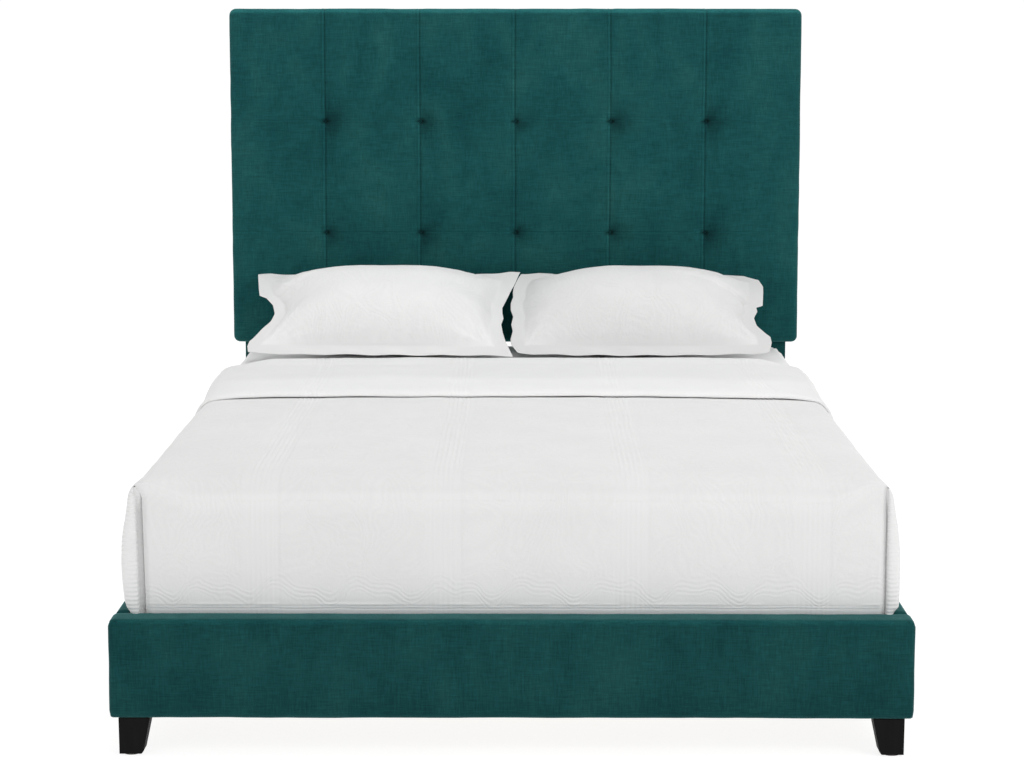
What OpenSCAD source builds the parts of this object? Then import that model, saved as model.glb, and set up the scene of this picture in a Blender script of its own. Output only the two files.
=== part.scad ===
// Upholstered headboard bed, queen size, dressed with a mattress, coverlet and two pillows.
// X runs across the bed, +Y runs towards the headboard, +Z is up. Z = 0 is the floor.

/* [Overall] */
// Width over the headboard and the footboard
bed_w = 1638; // [1600:1:1680]
// Length from the footboard's front face to the headboard's back
bed_l = 2186; // [2170:1:2240]
// Height of the headboard's top edge above the floor
bed_h = 1524; // [1400:1:1650]
// Height of the front legs, and of the rails above the floor
clear_h = 79; // [60:1:90]
// Height of the top edge of the rails and the footboard
rail_top = 285; // [283:1:292]

/* [Headboard] */
// Height of the headboard's lower edge
head_z0 = 563; // [560:1:580]
// Thickness of the headboard
head_t = 76; // [72:1:90]
// Corner radius of the headboard seen from the front
head_r = 18; // [14:1:30]
// Depth of each tuft
tuft_d = 14; // [8:1:18]
// Radius of each tuft's hollow at the face
tuft_r = 31; // [20:1:40]
// Columns of panels
tuft_cols = 6; // [2:1:8]
// Rows of panels
tuft_rows = 3; // [2:1:4]
// Width of each post
post_w = 80; // [70:1:90]

/* [Footboard and rails] */
// Thickness of the footboard
foot_t = 60; // [56:1:70]
// Corner radius of the footboard seen from the front
foot_r = 14; // [13:1:20]
// Thickness of each side rail
rail_t = 34; // [33:1:36]
// How far each side rail is set in from the headboard's edge
rail_in = 5; // [4:1:12]
// Thickness of the velvet
cloth_t = 2; // [1.5:0.5:2.5]

/* [Front legs] */
// Leg width at the top
leg_top = 64; // [56:1:70]
// Leg width at the floor
leg_bot = 48; // [40:1:52]
// How far the leg is set in from the footboard's end
leg_in = 19; // [15:1:30]
// Leg depth at the top
leg_d = 50; // [44:1:54]

/* [Slats] */
// Number of slats
slat_n = 13; // [10:1:15]
// Slat width
slat_w = 70; // [50:1:80]
// Slat thickness
slat_t = 18; // [15:1:20]
// Height of the slats' top face
deck_z = 250; // [248:1:252]

/* [Mattress] */
// Mattress width
mat_w = 1524; // [1520:1:1524]
// Mattress length
mat_l = 2032; // [2000:1:2032]
// Mattress thickness
mat_t = 303; // [290:1:306]
// Spring pockets across
spring_nx = 12; // [6:1:12]
// Spring pockets along
spring_ny = 16; // [8:1:16]

/* [Bedding] */
// Distance from the bed's middle to the coverlet's fold, towards the head
fold_y = 472; // [300:1:520]
// Length of the turned-back cuff
cuff_l = 535; // [350:1:560]
// Half width of the coverlet at its widest
drape_w = 795; // [790:1:796]

/* [Pillows] */
// Height of a sham along its face
pillow_h = 405; // [380:1:420]
// Tilt of the pillows
pillow_tilt = 26; // [22:1:28]
// Width of the flat flange round each sham
flange = 38; // [25:1:45]

/* [Hidden] */
$fn = 48;

// a hair of clearance between parts that are glued or screwed together
g = 0.3;
e = 0.01;
velvet = [0.12, 0.32, 0.33];
pine = [0.78, 0.62, 0.42];
ply = [0.72, 0.57, 0.38];
foamc = [0.93, 0.88, 0.70];
steel = [0.62, 0.63, 0.65];
white = [0.93, 0.93, 0.92];
blackc = [0.06, 0.06, 0.065];

hw = bed_w / 2;
yf = -bed_l / 2;          // footboard front face
yfr = yf + foot_t;        // footboard rear face
yb = bed_l / 2;           // headboard back
yh = yb - head_t;         // headboard front face
c = cloth_t;
foam_t = 25;
panel_t = 9;
yp = yh + c + foam_t;     // plywood panel front
yfrm = yp + panel_t;      // frame front
yfrb = yb - 3;            // frame back
wad = 6;                  // wadding round the edges
hin = c + wad;            // cover and wadding together

// posts
px1 = hw - 30;            // outer face of the wrapped post
px0 = px1 - post_w;       // inner face of the wrapped post
post_top = bed_h - hin - 26 - g;
glide_h = 8;

// rails
rx1 = hw - rail_in;
rx0 = rx1 - rail_t;
core_x0 = rx0 + c;
core_x1 = rx1 - c - wad;
rail_y0 = yfr + g;
rail_y1 = yfrm - g;
led_z1 = deck_z - slat_t;
led_z0 = led_z1 - 30;
led_x0 = core_x0 - 30;

// corner hardware
brk_z0 = 110;
brk_z1 = 195;
brk_t = 4;
brk_l = 90;
bolt_x = core_x0 - brk_t - 28;
bolt_z = [130, 175];

// centre support
beam_w = 38;
beam_h = 70;
beam_z0 = led_z1 - beam_h;
leg_y = [-680, 0, 680];

// mattress and sheet
my = yh - 6 - mat_l / 2;  // middle of the mattress along the bed
mz0 = deck_z + 2;
mz1 = mz0 + mat_t;
tape = 4;
mhw = mat_w / 2 - tape;
mhl = mat_l / 2 - tape;
mr = 50;
sh = 1.5;

tuft_x = [for (i = [1:tuft_cols - 1]) -hw + i * bed_w / tuft_cols];
tuft_z = [for (i = [1:tuft_rows - 1]) head_z0 + i * (bed_h - head_z0) / tuft_rows];

// ---------- helpers ----------
module bx(x0, x1, y0, y1, z0, z1) translate([x0, y0, z0]) cube([x1 - x0, y1 - y0, z1 - z0]);

// the same box on side s, where s is -1 for left and 1 for right
module bs(s, x0, x1, y0, y1, z0, z1) bx(s > 0 ? x0 : -x1, s > 0 ? x1 : -x0, y0, y1, z0, z1);

module rr(x0, x1, y0, y1, r) {
    translate([x0 + r, y0]) square([x1 - x0 - 2 * r, y1 - y0]);
    translate([x0, y0 + r]) square([x1 - x0, y1 - y0 - 2 * r]);
    for (x = [x0 + r, x1 - r], y = [y0 + r, y1 - r]) translate([x, y]) circle(r);
}

// only the two upper corners are round
module tr(x0, x1, y0, y1, r) {
    translate([x0, y0]) square([x1 - x0, y1 - y0 - r]);
    translate([x0 + r, y0]) square([x1 - x0 - 2 * r, y1 - y0]);
    for (x = [x0 + r, x1 - r]) translate([x, y1 - r]) circle(r);
}

// a flat shape drawn in X and Z, extruded from y0 to y1
module slab(y0, y1) translate([0, y1, 0]) rotate([90, 0, 0]) linear_extrude(y1 - y0) children();

// a flat shape drawn in X and Y, extruded from z0 to z1
module plate(z0, z1) translate([0, 0, z0]) linear_extrude(z1 - z0) children();

module ycyl(x, z, y0, y1, r) translate([x, y0, z]) rotate([-90, 0, 0]) cylinder(r = r, h = y1 - y0);
module ycone(x, z, y0, y1, r0, r1) translate([x, y0, z]) rotate([-90, 0, 0]) cylinder(r1 = r0, r2 = r1, h = y1 - y0);
module xcyl(s, y, z, x0, x1, r) translate([s > 0 ? x0 : -x1, y, z]) rotate([0, 90, 0]) cylinder(r = r, h = x1 - x0);
module at_tufts() for (x = tuft_x, z = tuft_z) translate([x, 0, z]) children();

// ---------- headboard ----------
// velvet shell with a hollow pulled in at each tuft, open at the back and round the posts
module headboard_cover() color(velvet) difference() {
    union() {
        difference() {
            slab(yh, yfrb + 1.5) rr(-hw, hw, head_z0, bed_h, head_r);
            slab(yh + c, yfrb) rr(-hw + c, hw - c, head_z0 + c, bed_h - c, head_r - c);
            bx(-hw + 42, hw - 42, yfrb - 1, yfrb + 2, head_z0 + 42, bed_h - 42);
            for (s = [-1, 1]) bs(s, px0 - g, px1 + g, yfrm, yfrb + e, head_z0 - 1, head_z0 + c + 1);
        }
        at_tufts() ycone(0, 0, yh + c / 2, yh + tuft_d, tuft_r + 2, 8);
    }
    at_tufts() ycone(0, 0, yh - e, yh + tuft_d - 2, tuft_r, 6);
    at_tufts() ycyl(0, 0, yh + 5, yh + tuft_d + 2, 1.2);
}

module headboard_foam() color(foamc) difference() {
    slab(yh + c, yp) rr(-hw + c, hw - c, head_z0 + c, bed_h - c, head_r - c);
    at_tufts() ycone(0, 0, yh + c / 2, yh + tuft_d + 0.2, tuft_r + 2.4, 8.4);
    at_tufts() ycyl(0, 0, yh + 5, yp + 1, 2);
}

module headboard_edge_wadding() color(white) difference() {
    slab(yp, yfrb) rr(-hw + c, hw - c, head_z0 + c, bed_h - c, head_r - c);
    bx(-hw + hin, hw - hin, yp - 1, yfrb + 1, head_z0 + hin, bed_h - hin);
    for (s = [-1, 1]) bs(s, px0 + c - g, px1 - c + g, yfrm + c - g, yfrb - c + g, head_z0, head_z0 + hin + 1);
}

module headboard_panel() color(ply) difference() {
    bx(-hw + hin, hw - hin, yp, yfrm, head_z0 + hin, bed_h - hin);
    at_tufts() ycyl(0, 0, yp - 1, yfrm + 1, 3);
}

strut_x = bed_w / 12;
mid_z = (head_z0 + bed_h) / 2;
module headboard_frame() color(pine) {
    z0 = head_z0 + hin;
    z1 = bed_h - hin;
    bx(-hw + hin, hw - hin, yfrm, yfrb, z1 - 26, z1);
    for (s = [-1, 1]) difference() {
        bs(s, px1 - c + g, hw - hin, yfrm, yfrb, z0, z1 - 26 - g);
        for (z = [z0 + 40, z0 + 320, z0 + 600, z1 - 70]) xcyl(s, (yfrm + yfrb) / 2, z, px1 - c, hw - hin + 1, 2.6);
    }
    bx(-px0 - c + g, px0 + c - g, yfrm, yfrb, z0, z0 + 60);
    bx(-px0 - c + g, px0 + c - g, yfrm, yfrb, mid_z - 26, mid_z + 26);
    for (s = [-1, 1]) {
        bs(s, strut_x - 18, strut_x + 18, yfrm, yfrb, z0 + 60 + g, mid_z - 26 - g);
        bs(s, strut_x - 18, strut_x + 18, yfrm, yfrb, mid_z + 26 + g, z1 - 26 - g);
    }
}

module headboard_back_cloth() color([0.08, 0.08, 0.09])
    slab(yb - 1.5, yb) rr(-hw + 26, hw - 26, head_z0 + 26, bed_h - 26, 6);

module tuft_buttons() color(velvet) at_tufts() difference() {
    ycyl(0, 0, yh + tuft_d - 4.5, yh + tuft_d - 2, 4.8);
    ycyl(0, 0, yh + tuft_d - 6, yh + tuft_d - 1, 1.1);
}

// a knotted twine from each button to its toggle behind the panel
module tuft_twines() color(white) at_tufts() union() {
    ycyl(0, 0, yh + tuft_d - 6, yfrm + 6.5, 0.8);
    ycyl(0, 0, yh + tuft_d - 6, yh + tuft_d - 4.6, 2.4);
    ycyl(0, 0, yfrm + 4.6, yfrm + 7, 2.4);
}

module tuft_toggles() color(pine) at_tufts() difference() {
    bx(-16, 16, yfrm, yfrm + 4.5, -4, 4);
    ycyl(0, 0, yfrm - 1, yfrm + 6, 1.1);
}

module headboard_post(s) color(pine) difference() {
    bs(s, px0 + c, px1 - c, yfrm + c, yfrb - c, glide_h, post_top);
    for (z = [head_z0 + hin + 40, head_z0 + hin + 320, head_z0 + hin + 600, bed_h - hin - 70])
        xcyl(s, (yfrm + yfrb) / 2, z, px1 - c - 34, px1, 2.6);
    for (z = bolt_z) ycyl(s * bolt_x, z, yfrm - 1, yfrb - 4, 6.05);
    for (z = [140, 205]) xcyl(s, (yfrm + yfrb) / 2 + 2, z, px0, px1, 3.1);
}
module headboard_post_left() headboard_post(-1);
module headboard_post_right() headboard_post(1);

module post_cover(s) color(velvet) difference() {
    bs(s, px0, px1, yfrm, yfrb, glide_h, head_z0 + c);
    bs(s, px0 + c, px1 - c, yfrm + c, yfrb - c, 0, head_z0 + 9);
    for (z = bolt_z) ycyl(s * bolt_x, z, yfrm - 1, yfrm + c + 1, 4.6);
    for (z = [140, 205]) xcyl(s, (yfrm + yfrb) / 2 + 2, z, px0 - 1, px0 + c + 1, 3.2);
}
module post_cover_left() post_cover(-1);
module post_cover_right() post_cover(1);

// screws through the edge battens into the posts, and through the posts into the lower rail
module post_screws() color(steel) for (s = [-1, 1]) {
    for (z = [head_z0 + hin + 40, head_z0 + hin + 320, head_z0 + hin + 600, bed_h - hin - 70])
        xcyl(s, (yfrm + yfrb) / 2, z, px1 - c - 33, hw - hin - 1, 2.5);
    for (z = [140, 205]) xcyl(s, (yfrm + yfrb) / 2 + 2, z, px0 - 40, px1 - c - 0.5, 3);
}

module headboard_lower_rail() color(pine) difference() {
    bx(-px0 + g, px0 - g, yfrb - 28, yfrb - 6, brk_z0, led_z1);
    for (s = [-1, 1], z = [140, 205]) xcyl(s, (yfrm + yfrb) / 2 + 2, z, px0 - 41, px0 + 1, 3.1);
    for (x = [-35, 35], z = [beam_z0 - 10, led_z1 - 15]) ycyl(x, z, yfrb - 29, yfrb - 9, 2.6);
}

module rear_glides() color(blackc) for (s = [-1, 1])
    translate([s * (px0 + px1) / 2, (yfrm + yfrb) / 2, 0]) cylinder(r = 16, h = glide_h);

// ---------- footboard ----------
fz0 = clear_h + c;
fz1 = rail_top - c - wad;
fy0 = yf + c + 8;         // front plywood skin
fy1 = yfr - c;            // rear face of the rear skin
skin = 4;
module footboard_cover() color(velvet) difference() {
    slab(yf, yfr) tr(-hw, hw, clear_h, rail_top, foot_r);
    slab(yf + c, yfr - c) tr(-hw + c, hw - c, clear_h + c, rail_top - c, foot_r - c);
    bx(-hw + 20, hw - 20, yf + 18, yfr - 18, clear_h - 1, clear_h + c + 1);
    for (s = [-1, 1], z = bolt_z) ycyl(s * bolt_x, z, yfr - c - 1, yfr + 1, 4.6);
    for (x = [-35, 35], z = [beam_z0 - 10, led_z1 - 15]) ycyl(x, z, yfr - c - 1, yfr + 1, 2.7);
}

module footboard_foam() color(foamc) difference() {
    slab(yf + c, yfr - c) tr(-hw + c, hw - c, clear_h + c, rail_top - c, foot_r - c);
    bx(-hw + hin, hw - hin, fy0, yfr + 1, clear_h, fz1);
}

module footboard_panel_front() color(ply) bx(-hw + hin, hw - hin, fy0, fy0 + skin, fz0, fz1);

module footboard_panel_rear() color(ply) difference() {
    bx(-hw + hin, hw - hin, fy1 - skin, fy1, fz0, fz1);
    for (s = [-1, 1], z = bolt_z) ycyl(s * bolt_x, z, fy1 - skin - 1, fy1 + 1, 6.2);
    for (x = [-35, 35], z = [beam_z0 - 10, led_z1 - 15]) ycyl(x, z, fy1 - skin - 1, fy1 + 1, 2.7);
}

leg_cx = hw - leg_in - leg_top / 2 - 4;
leg_cy = (yf + yfr) / 2;
module footboard_frame() color(pine) {
    y0 = fy0 + skin;
    y1 = fy1 - skin;
    bx(-hw + hin, hw - hin, y0, y1, fz1 - 26, fz1);
    difference() {
        bx(-hw + hin, hw - hin, y0, y1, fz0, fz0 + 40);
        for (s = [-1, 1]) translate([s * leg_cx, leg_cy, fz0 - 1]) cylinder(r = 4.1, h = 33);
    }
    for (s = [-1, 1]) difference() {
        bs(s, hw - hin - 90, hw - hin, y0, y1, fz0 + 40 + g, fz1 - 26 - g);
        for (z = bolt_z) ycyl(s * bolt_x, z, y1 - 31, y1 + 1, 6.05);
    }
    for (s = [-2, -1, 1, 2]) bx(s * 250 - 20, s * 250 + 20, y0, y1, fz0 + 40 + g, fz1 - 26 - g);
    difference() {
        bx(-46, 46, y0, y1, fz0 + 40 + g, fz1 - 26 - g);
        for (x = [-35, 35], z = [beam_z0 - 10, led_z1 - 15]) ycyl(x, z, y1 - 24, y1 + 1, 2.6);
    }
}

// the outer face is upright and the inner and rear faces taper, with a small chamfer at the floor
module front_leg(s) color(blackc) difference() {
    x1 = hw - leg_in;
    dy = (leg_top - leg_bot) / 4;
    intersection() {
        slab(leg_cy - leg_d / 2 - 1, leg_cy + leg_d / 2 + 1)
            polygon([[s * x1, clear_h], [s * (x1 - leg_top), clear_h], [s * (x1 - leg_bot - 1), 8],
                     [s * (x1 - leg_bot + 3), 3], [s * x1, 3]]);
        translate([s > 0 ? x1 - leg_top - 5 : -x1 - 5, 0, 0]) rotate([90, 0, 90]) linear_extrude(leg_top + 10)
            polygon([[leg_cy - leg_d / 2, clear_h], [leg_cy - leg_d / 2 + dy, 3],
                     [leg_cy + leg_d / 2 - dy, 3], [leg_cy + leg_d / 2, clear_h]]);
    }
    translate([s * leg_cx, leg_cy, clear_h - 44]) cylinder(r = 4.1, h = 60);
}
module front_leg_left() front_leg(-1);
module front_leg_right() front_leg(1);

module front_leg_bolts() color(steel) for (s = [-1, 1])
    translate([s * leg_cx, leg_cy, clear_h - 42]) cylinder(r = 4, h = 74);

module front_glides() color([0.2, 0.2, 0.21]) for (s = [-1, 1])
    translate([s * (hw - leg_in - leg_bot / 2 + 1), leg_cy, 0]) cylinder(r = 18, h = 3);

// ---------- side rails ----------
screw_y = [for (i = [0:7]) rail_y0 + 120 + i * (rail_y1 - rail_y0 - 240) / 7];
plate_y = [[rail_y0 + 28, rail_y0 + 68], [rail_y1 - 68, rail_y1 - 28]];
module side_rail(s) color(ply) difference() {
    bs(s, core_x0, core_x1, rail_y0 + 1, rail_y1 - 1, clear_h + c, rail_top - c);
    for (y = screw_y) xcyl(s, y, (led_z0 + led_z1) / 2, core_x0 - 1, core_x0 + 18, 2.1);
    for (ys = plate_y, y = ys, z = bolt_z) xcyl(s, y, z, core_x0 - 1, core_x0 + 19, 2.6);
}
module side_rail_left() side_rail(-1);
module side_rail_right() side_rail(1);

module side_rail_foam(s) color(foamc)
    bs(s, core_x1, rx1 - c, rail_y0 + 1, rail_y1 - 1, clear_h + c, rail_top - c);
module side_rail_foam_left() side_rail_foam(-1);
module side_rail_foam_right() side_rail_foam(1);

// wrapped over the top and under the bottom, and stapled to the inner face
module side_rail_cover(s) color(velvet) difference() {
    bs(s, rx0, rx1, rail_y0, rail_y1, clear_h, rail_top);
    bs(s, rx0 + c, rx1 - c, rail_y0 - 1, rail_y1 + 1, clear_h + c, rail_top - c);
    bs(s, rx0 - 1, rx0 + c + 1, rail_y0 - 1, rail_y1 + 1, brk_z0 - 3, rail_top - 40);
}
module side_rail_cover_left() side_rail_cover(-1);
module side_rail_cover_right() side_rail_cover(1);

module slat_ledger(s) color(pine) difference() {
    bs(s, led_x0, core_x0, rail_y0 + 8, rail_y1 - 8, led_z0, led_z1);
    for (y = screw_y) xcyl(s, y, (led_z0 + led_z1) / 2, led_x0 - 1, core_x0 + 1, 2.1);
}
module slat_ledger_left() slat_ledger(-1);
module slat_ledger_right() slat_ledger(1);

module ledger_screws() color(steel) for (s = [-1, 1], y = screw_y) union() {
    xcyl(s, y, (led_z0 + led_z1) / 2, led_x0 - 2.5, led_x0, 4);
    xcyl(s, y, (led_z0 + led_z1) / 2, led_x0 - 0.5, core_x0 + 17, 2);
}

// ---------- corner hardware ----------
module bracket_foot(s) difference() {
    union() {
        bs(s, core_x0 - brk_t, core_x0, yfr, yfr + brk_l, brk_z0, brk_z1);
        bs(s, core_x0 - brk_t - 56, core_x0 - brk_t, yfr, yfr + brk_t, brk_z0, brk_z1);
    }
    for (z = bolt_z) ycyl(s * bolt_x, z, yfr - 1, yfr + brk_t + 1, 4.5);
    for (y = plate_y[0], z = bolt_z) xcyl(s, y, z, core_x0 - brk_t - 1, core_x0 + 1, 2.7);
}
module bracket_head(s) difference() {
    union() {
        bs(s, core_x0 - brk_t, core_x0, yfrm - brk_l, yfrm, brk_z0, brk_z1);
        bs(s, core_x0 - brk_t - 56, core_x0 - brk_t, yfrm - brk_t, yfrm, brk_z0, brk_z1);
    }
    for (z = bolt_z) ycyl(s * bolt_x, z, yfrm - brk_t - 1, yfrm + 1, 4.5);
    for (y = plate_y[1], z = bolt_z) xcyl(s, y, z, core_x0 - brk_t - 1, core_x0 + 1, 2.7);
}
module corner_brackets() color(blackc) for (s = [-1, 1]) {
    bracket_foot(s);
    bracket_head(s);
}

module corner_bolts() color(steel) for (s = [-1, 1], z = bolt_z) {
    union() {
        ycyl(s * bolt_x, z, fy1 - skin - 26, yfr + brk_t + 1, 4);
        ycyl(s * bolt_x, z, yfr + brk_t, yfr + brk_t + 5.5, 6.5);
    }
    union() {
        ycyl(s * bolt_x, z, yfrm - brk_t - 1, yfrm + c + 26, 4);
        ycyl(s * bolt_x, z, yfrm - brk_t - 5.5, yfrm - brk_t, 6.5);
    }
}

module threaded_inserts() color([0.75, 0.65, 0.35]) for (s = [-1, 1], z = bolt_z) {
    difference() {
        ycyl(s * bolt_x, z, fy1 - skin - 25, fy1 - skin, 6);
        ycyl(s * bolt_x, z, fy1 - skin - 30, fy1 + 1, 4.1);
    }
    difference() {
        ycyl(s * bolt_x, z, yfrm + c, yfrm + c + 25, 6);
        ycyl(s * bolt_x, z, yfrm - 1, yfrm + c + 30, 4.1);
    }
}

// rail plate screws, hanger screws and centre leg plate screws
module bracket_screws() color(steel) {
    for (s = [-1, 1], ys = plate_y, y = ys, z = bolt_z) union() {
        xcyl(s, y, z, core_x0 - brk_t - 2.5, core_x0 - brk_t, 4.5);
        xcyl(s, y, z, core_x0 - brk_t - 0.5, core_x0 + 18, 2.5);
    }
    for (x = [-35, 35], z = [beam_z0 - 10, led_z1 - 15]) {
        union() {
            ycyl(x, z, yfr + 2.5, yfr + 5, 4.5);
            ycyl(x, z, fy1 - skin - 22, yfr + 3, 2.5);
        }
        union() {
            ycyl(x, z, yfrb - 28 - 5, yfrb - 28 - 2.5, 4.5);
            ycyl(x, z, yfrb - 28 - 3, yfrb - 10, 2.5);
        }
    }
    for (y = leg_y, d = [-35, 35]) translate([0, y + d, 0]) union() {
        translate([0, 0, beam_z0 - 5.5]) cylinder(r = 4, h = 2.5);
        translate([0, 0, beam_z0 - 3.5]) cylinder(r = 2, h = 28);
    }
}

// ---------- centre support ----------
module center_beam() color(pine) difference() {
    bx(-beam_w / 2, beam_w / 2, yfr + 3, yfrb - 31, beam_z0, led_z1);
    for (y = leg_y, d = [-35, 35]) translate([0, y + d, beam_z0 - 1]) cylinder(r = 2.1, h = 27);
}

module hanger() {
    // upright plate, seat and two cheeks, reaching towards +Y
    difference() {
        bx(-45, 45, 0, 2.5, beam_z0 - 20, led_z1 - 4);
        for (x = [-35, 35], z = [beam_z0 - 10, led_z1 - 15]) ycyl(x, z, -1, 4, 2.7);
    }
    bx(-beam_w / 2 - 2.5, beam_w / 2 + 2.5, 2, 42, beam_z0 - 2.5, beam_z0);
    for (s = [-1, 1]) bs(s, beam_w / 2 + 0.2, beam_w / 2 + 2.5, 2, 42, beam_z0 - 2.5, beam_z0 + 50);
}
module beam_hangers() color(blackc) {
    translate([0, yfr, 0]) hanger();
    translate([0, yfrb - 28, 0]) mirror([0, 1, 0]) hanger();
}

leg_z0 = 8.3;
module center_leg(y) color(blackc) translate([0, y, 0]) difference() {
    bx(-20, 20, -20, 20, leg_z0, beam_z0 - 3);
    translate([0, 0, beam_z0 - 36]) cylinder(r = 4.2, h = 40);
    translate([0, 0, 0]) cylinder(r = 4.3, h = 48);
}
module center_leg_front() center_leg(leg_y[0]);
module center_leg_middle() center_leg(leg_y[1]);
module center_leg_rear() center_leg(leg_y[2]);

module center_leg_plates() color(steel) for (y = leg_y) translate([0, y, 0]) difference() {
    union() {
        bx(-19, 19, -45, 45, beam_z0 - 3, beam_z0);
        translate([0, 0, beam_z0 - 33]) cylinder(r = 4, h = 31);
    }
    for (d = [-35, 35]) translate([0, d, beam_z0 - 4]) cylinder(r = 2.1, h = 5);
}

// a threaded foot with a flat disc
module leveler(y) color([0.16, 0.16, 0.17]) translate([0, y, 0]) union() {
    cylinder(r = 19, h = 5);
    cylinder(r = 10, h = 8);
    cylinder(r = 4, h = 40);
}
module leveler_front() leveler(leg_y[0]);
module leveler_middle() leveler(leg_y[1]);
module leveler_rear() leveler(leg_y[2]);

// ---------- slats ----------
module slats() color(pine) for (i = [0:slat_n - 1]) {
    y = my - mat_l / 2 + 45 + i * (mat_l - 90) / (slat_n - 1);
    bx(-rx0 + 3.5, rx0 - 3.5, y - slat_w / 2, y + slat_w / 2, led_z1, deck_z);
}
module slat_webbing() color([0.85, 0.85, 0.83]) for (s = [-1, 1])
    bs(s, 361, 399, my - mat_l / 2 + 12, my + mat_l / 2 - 12, led_z1 - 1.6, led_z1);

// ---------- mattress ----------
module mplan(o) rr(-mhw - o, mhw + o, my - mhl - o, my + mhl + o, mr + o);
module mattress_cover() color(white) difference() {
    plate(mz0, mz1) mplan(0);
    plate(mz0 + 3, mz1 - 3) mplan(-3);
}
module mattress_tape_edges() color([0.8, 0.8, 0.8]) for (z = [mz0 + 3, mz1 - 11])
    plate(z, z + 8) difference() { mplan(tape); mplan(0); }
module mattress_top_pad() color([0.95, 0.93, 0.85]) plate(mz1 - 3 - g - 14, mz1 - 3 - g) mplan(-3 - g);
module mattress_bottom_pad() color([0.95, 0.93, 0.85]) plate(mz0 + 3 + g, mz0 + 3 + g + 6) mplan(-3 - g);
// pockets in a grid
module mattress_springs() color([0.9, 0.9, 0.92]) {
    px = (2 * mhw - 8) / spring_nx;
    py = (2 * mhl - 8) / spring_ny;
    ro = min(px, py) / 2 - 2.5;
    for (i = [0:spring_nx - 1], j = [0:spring_ny - 1])
        translate([(i - (spring_nx - 1) / 2) * px, my + (j - (spring_ny - 1) / 2) * py, mz0 + 3 + g + 6.2])
            difference() {
                cylinder(r = ro, h = mat_t - 6 - 2 * g - 20.4);
                translate([0, 0, -1]) cylinder(r = ro - 1.5, h = mat_t);
            }
}
// pulled over the mattress and turned in underneath
module fitted_sheet() color(white) difference() {
    plate(mz0 - sh - 0.2, mz1 + sh + 0.2) mplan(tape + 0.2 + sh);
    plate(mz0 - 0.2, mz1 + 0.2) mplan(tape + 0.2);
    plate(mz0 - 3, mz0) rr(-mhw + 60, mhw - 60, my - mhl + 60, my + mhl - 60, 10);
}

// ---------- coverlet ----------
// half sections of the draped cloth, from the tucked hem up to the crown, as [x, z]
tuck_z = deck_z + 6;
tx = rx0 - 0.7;
top_z = mz1 + 20;
cov_out = [[tx, tuck_z], [tx, 292], [drape_w, 410], [drape_w - 2, 470], [drape_w - 9, 519], [drape_w - 18, top_z - 25],
           [drape_w - 27, top_z - 12.5], [drape_w - 49, top_z - 8.8], [600, top_z - 4], [0, top_z]];
cov_in = [[tx - 4, tuck_z], [tx - 4, 293], [drape_w - 4, 410], [drape_w - 6, 468], [drape_w - 13, 517],
          [drape_w - 22, top_z - 27], [drape_w - 30, top_z - 16.5], [drape_w - 50, top_z - 13], [600, top_z - 8],
          [0, top_z - 4]];
cuff_z = 302;
cuff_in = [[tx + 3.4, cuff_z], [drape_w + 1.5, 410], [drape_w - 0.5, 471], [drape_w - 7.5, 520], [drape_w - 16.5, top_z - 24],
           [drape_w - 25.7, top_z - 10.7], [drape_w - 48.5, top_z - 7.2], [600, top_z - 2.4], [0, top_z + 1.6]];
cuff_out = [[tx + 9.4, cuff_z], [drape_w + 7.5, 410], [drape_w + 5.5, 472], [drape_w - 1.5, 522], [drape_w - 11, top_z - 21],
            [drape_w - 22, top_z - 5.5], [drape_w - 47, top_z - 1], [600, top_z + 4], [0, top_z + 8]];
// the fold joins the two layers
fold_in = concat([[tx - 2.6, cuff_z]], [for (i = [2:len(cov_in) - 1]) cov_in[i]]);
function flip(p) = [for (i = [len(p) - 1:-1:0]) [-p[i][0], p[i][1]]];
function back(p) = [for (i = [len(p) - 1:-1:0]) p[i]];
// a closed band between an outer and an inner half section, and its mirror image
function band(o, i) = concat(o, [for (k = [len(o) - 2:-1:0]) [-o[k][0], o[k][1]]],
                             [for (k = [0:len(i) - 1]) [-i[k][0], i[k][1]]], [for (k = [len(i) - 2:-1:0]) i[k]]);
cov_y0 = yfr + 1;
module coverlet() color(white) union() {
    slab(cov_y0, fold_y) polygon(band(cov_out, cov_in));
    slab(cov_y0, cov_y0 + 4) polygon(concat(cov_out, [for (k = [len(cov_out) - 2:-1:0]) [-cov_out[k][0], cov_out[k][1]]]));
    slab(fold_y - cuff_l, fold_y) polygon(band(cuff_out, cuff_in));
    slab(fold_y - 4, fold_y) polygon(band(cuff_out, fold_in));
}

// ---------- pillows ----------
bed_top = mz1 + sh + 0.2 + 0.5;
nu = 14;
nv = 10;
// half thickness of the pad at u, v in -1..1, zero in the flange
function pad(u, v, hx, hy, fl, t, t0) =
    let (a = min(1, abs(u) * hx / (hx - fl)), b = min(1, abs(v) * hy / (hy - fl)))
    t0 + t * pow(1 - pow(a, 2.6), 0.55) * pow(1 - pow(b, 2.6), 0.55);
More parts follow.
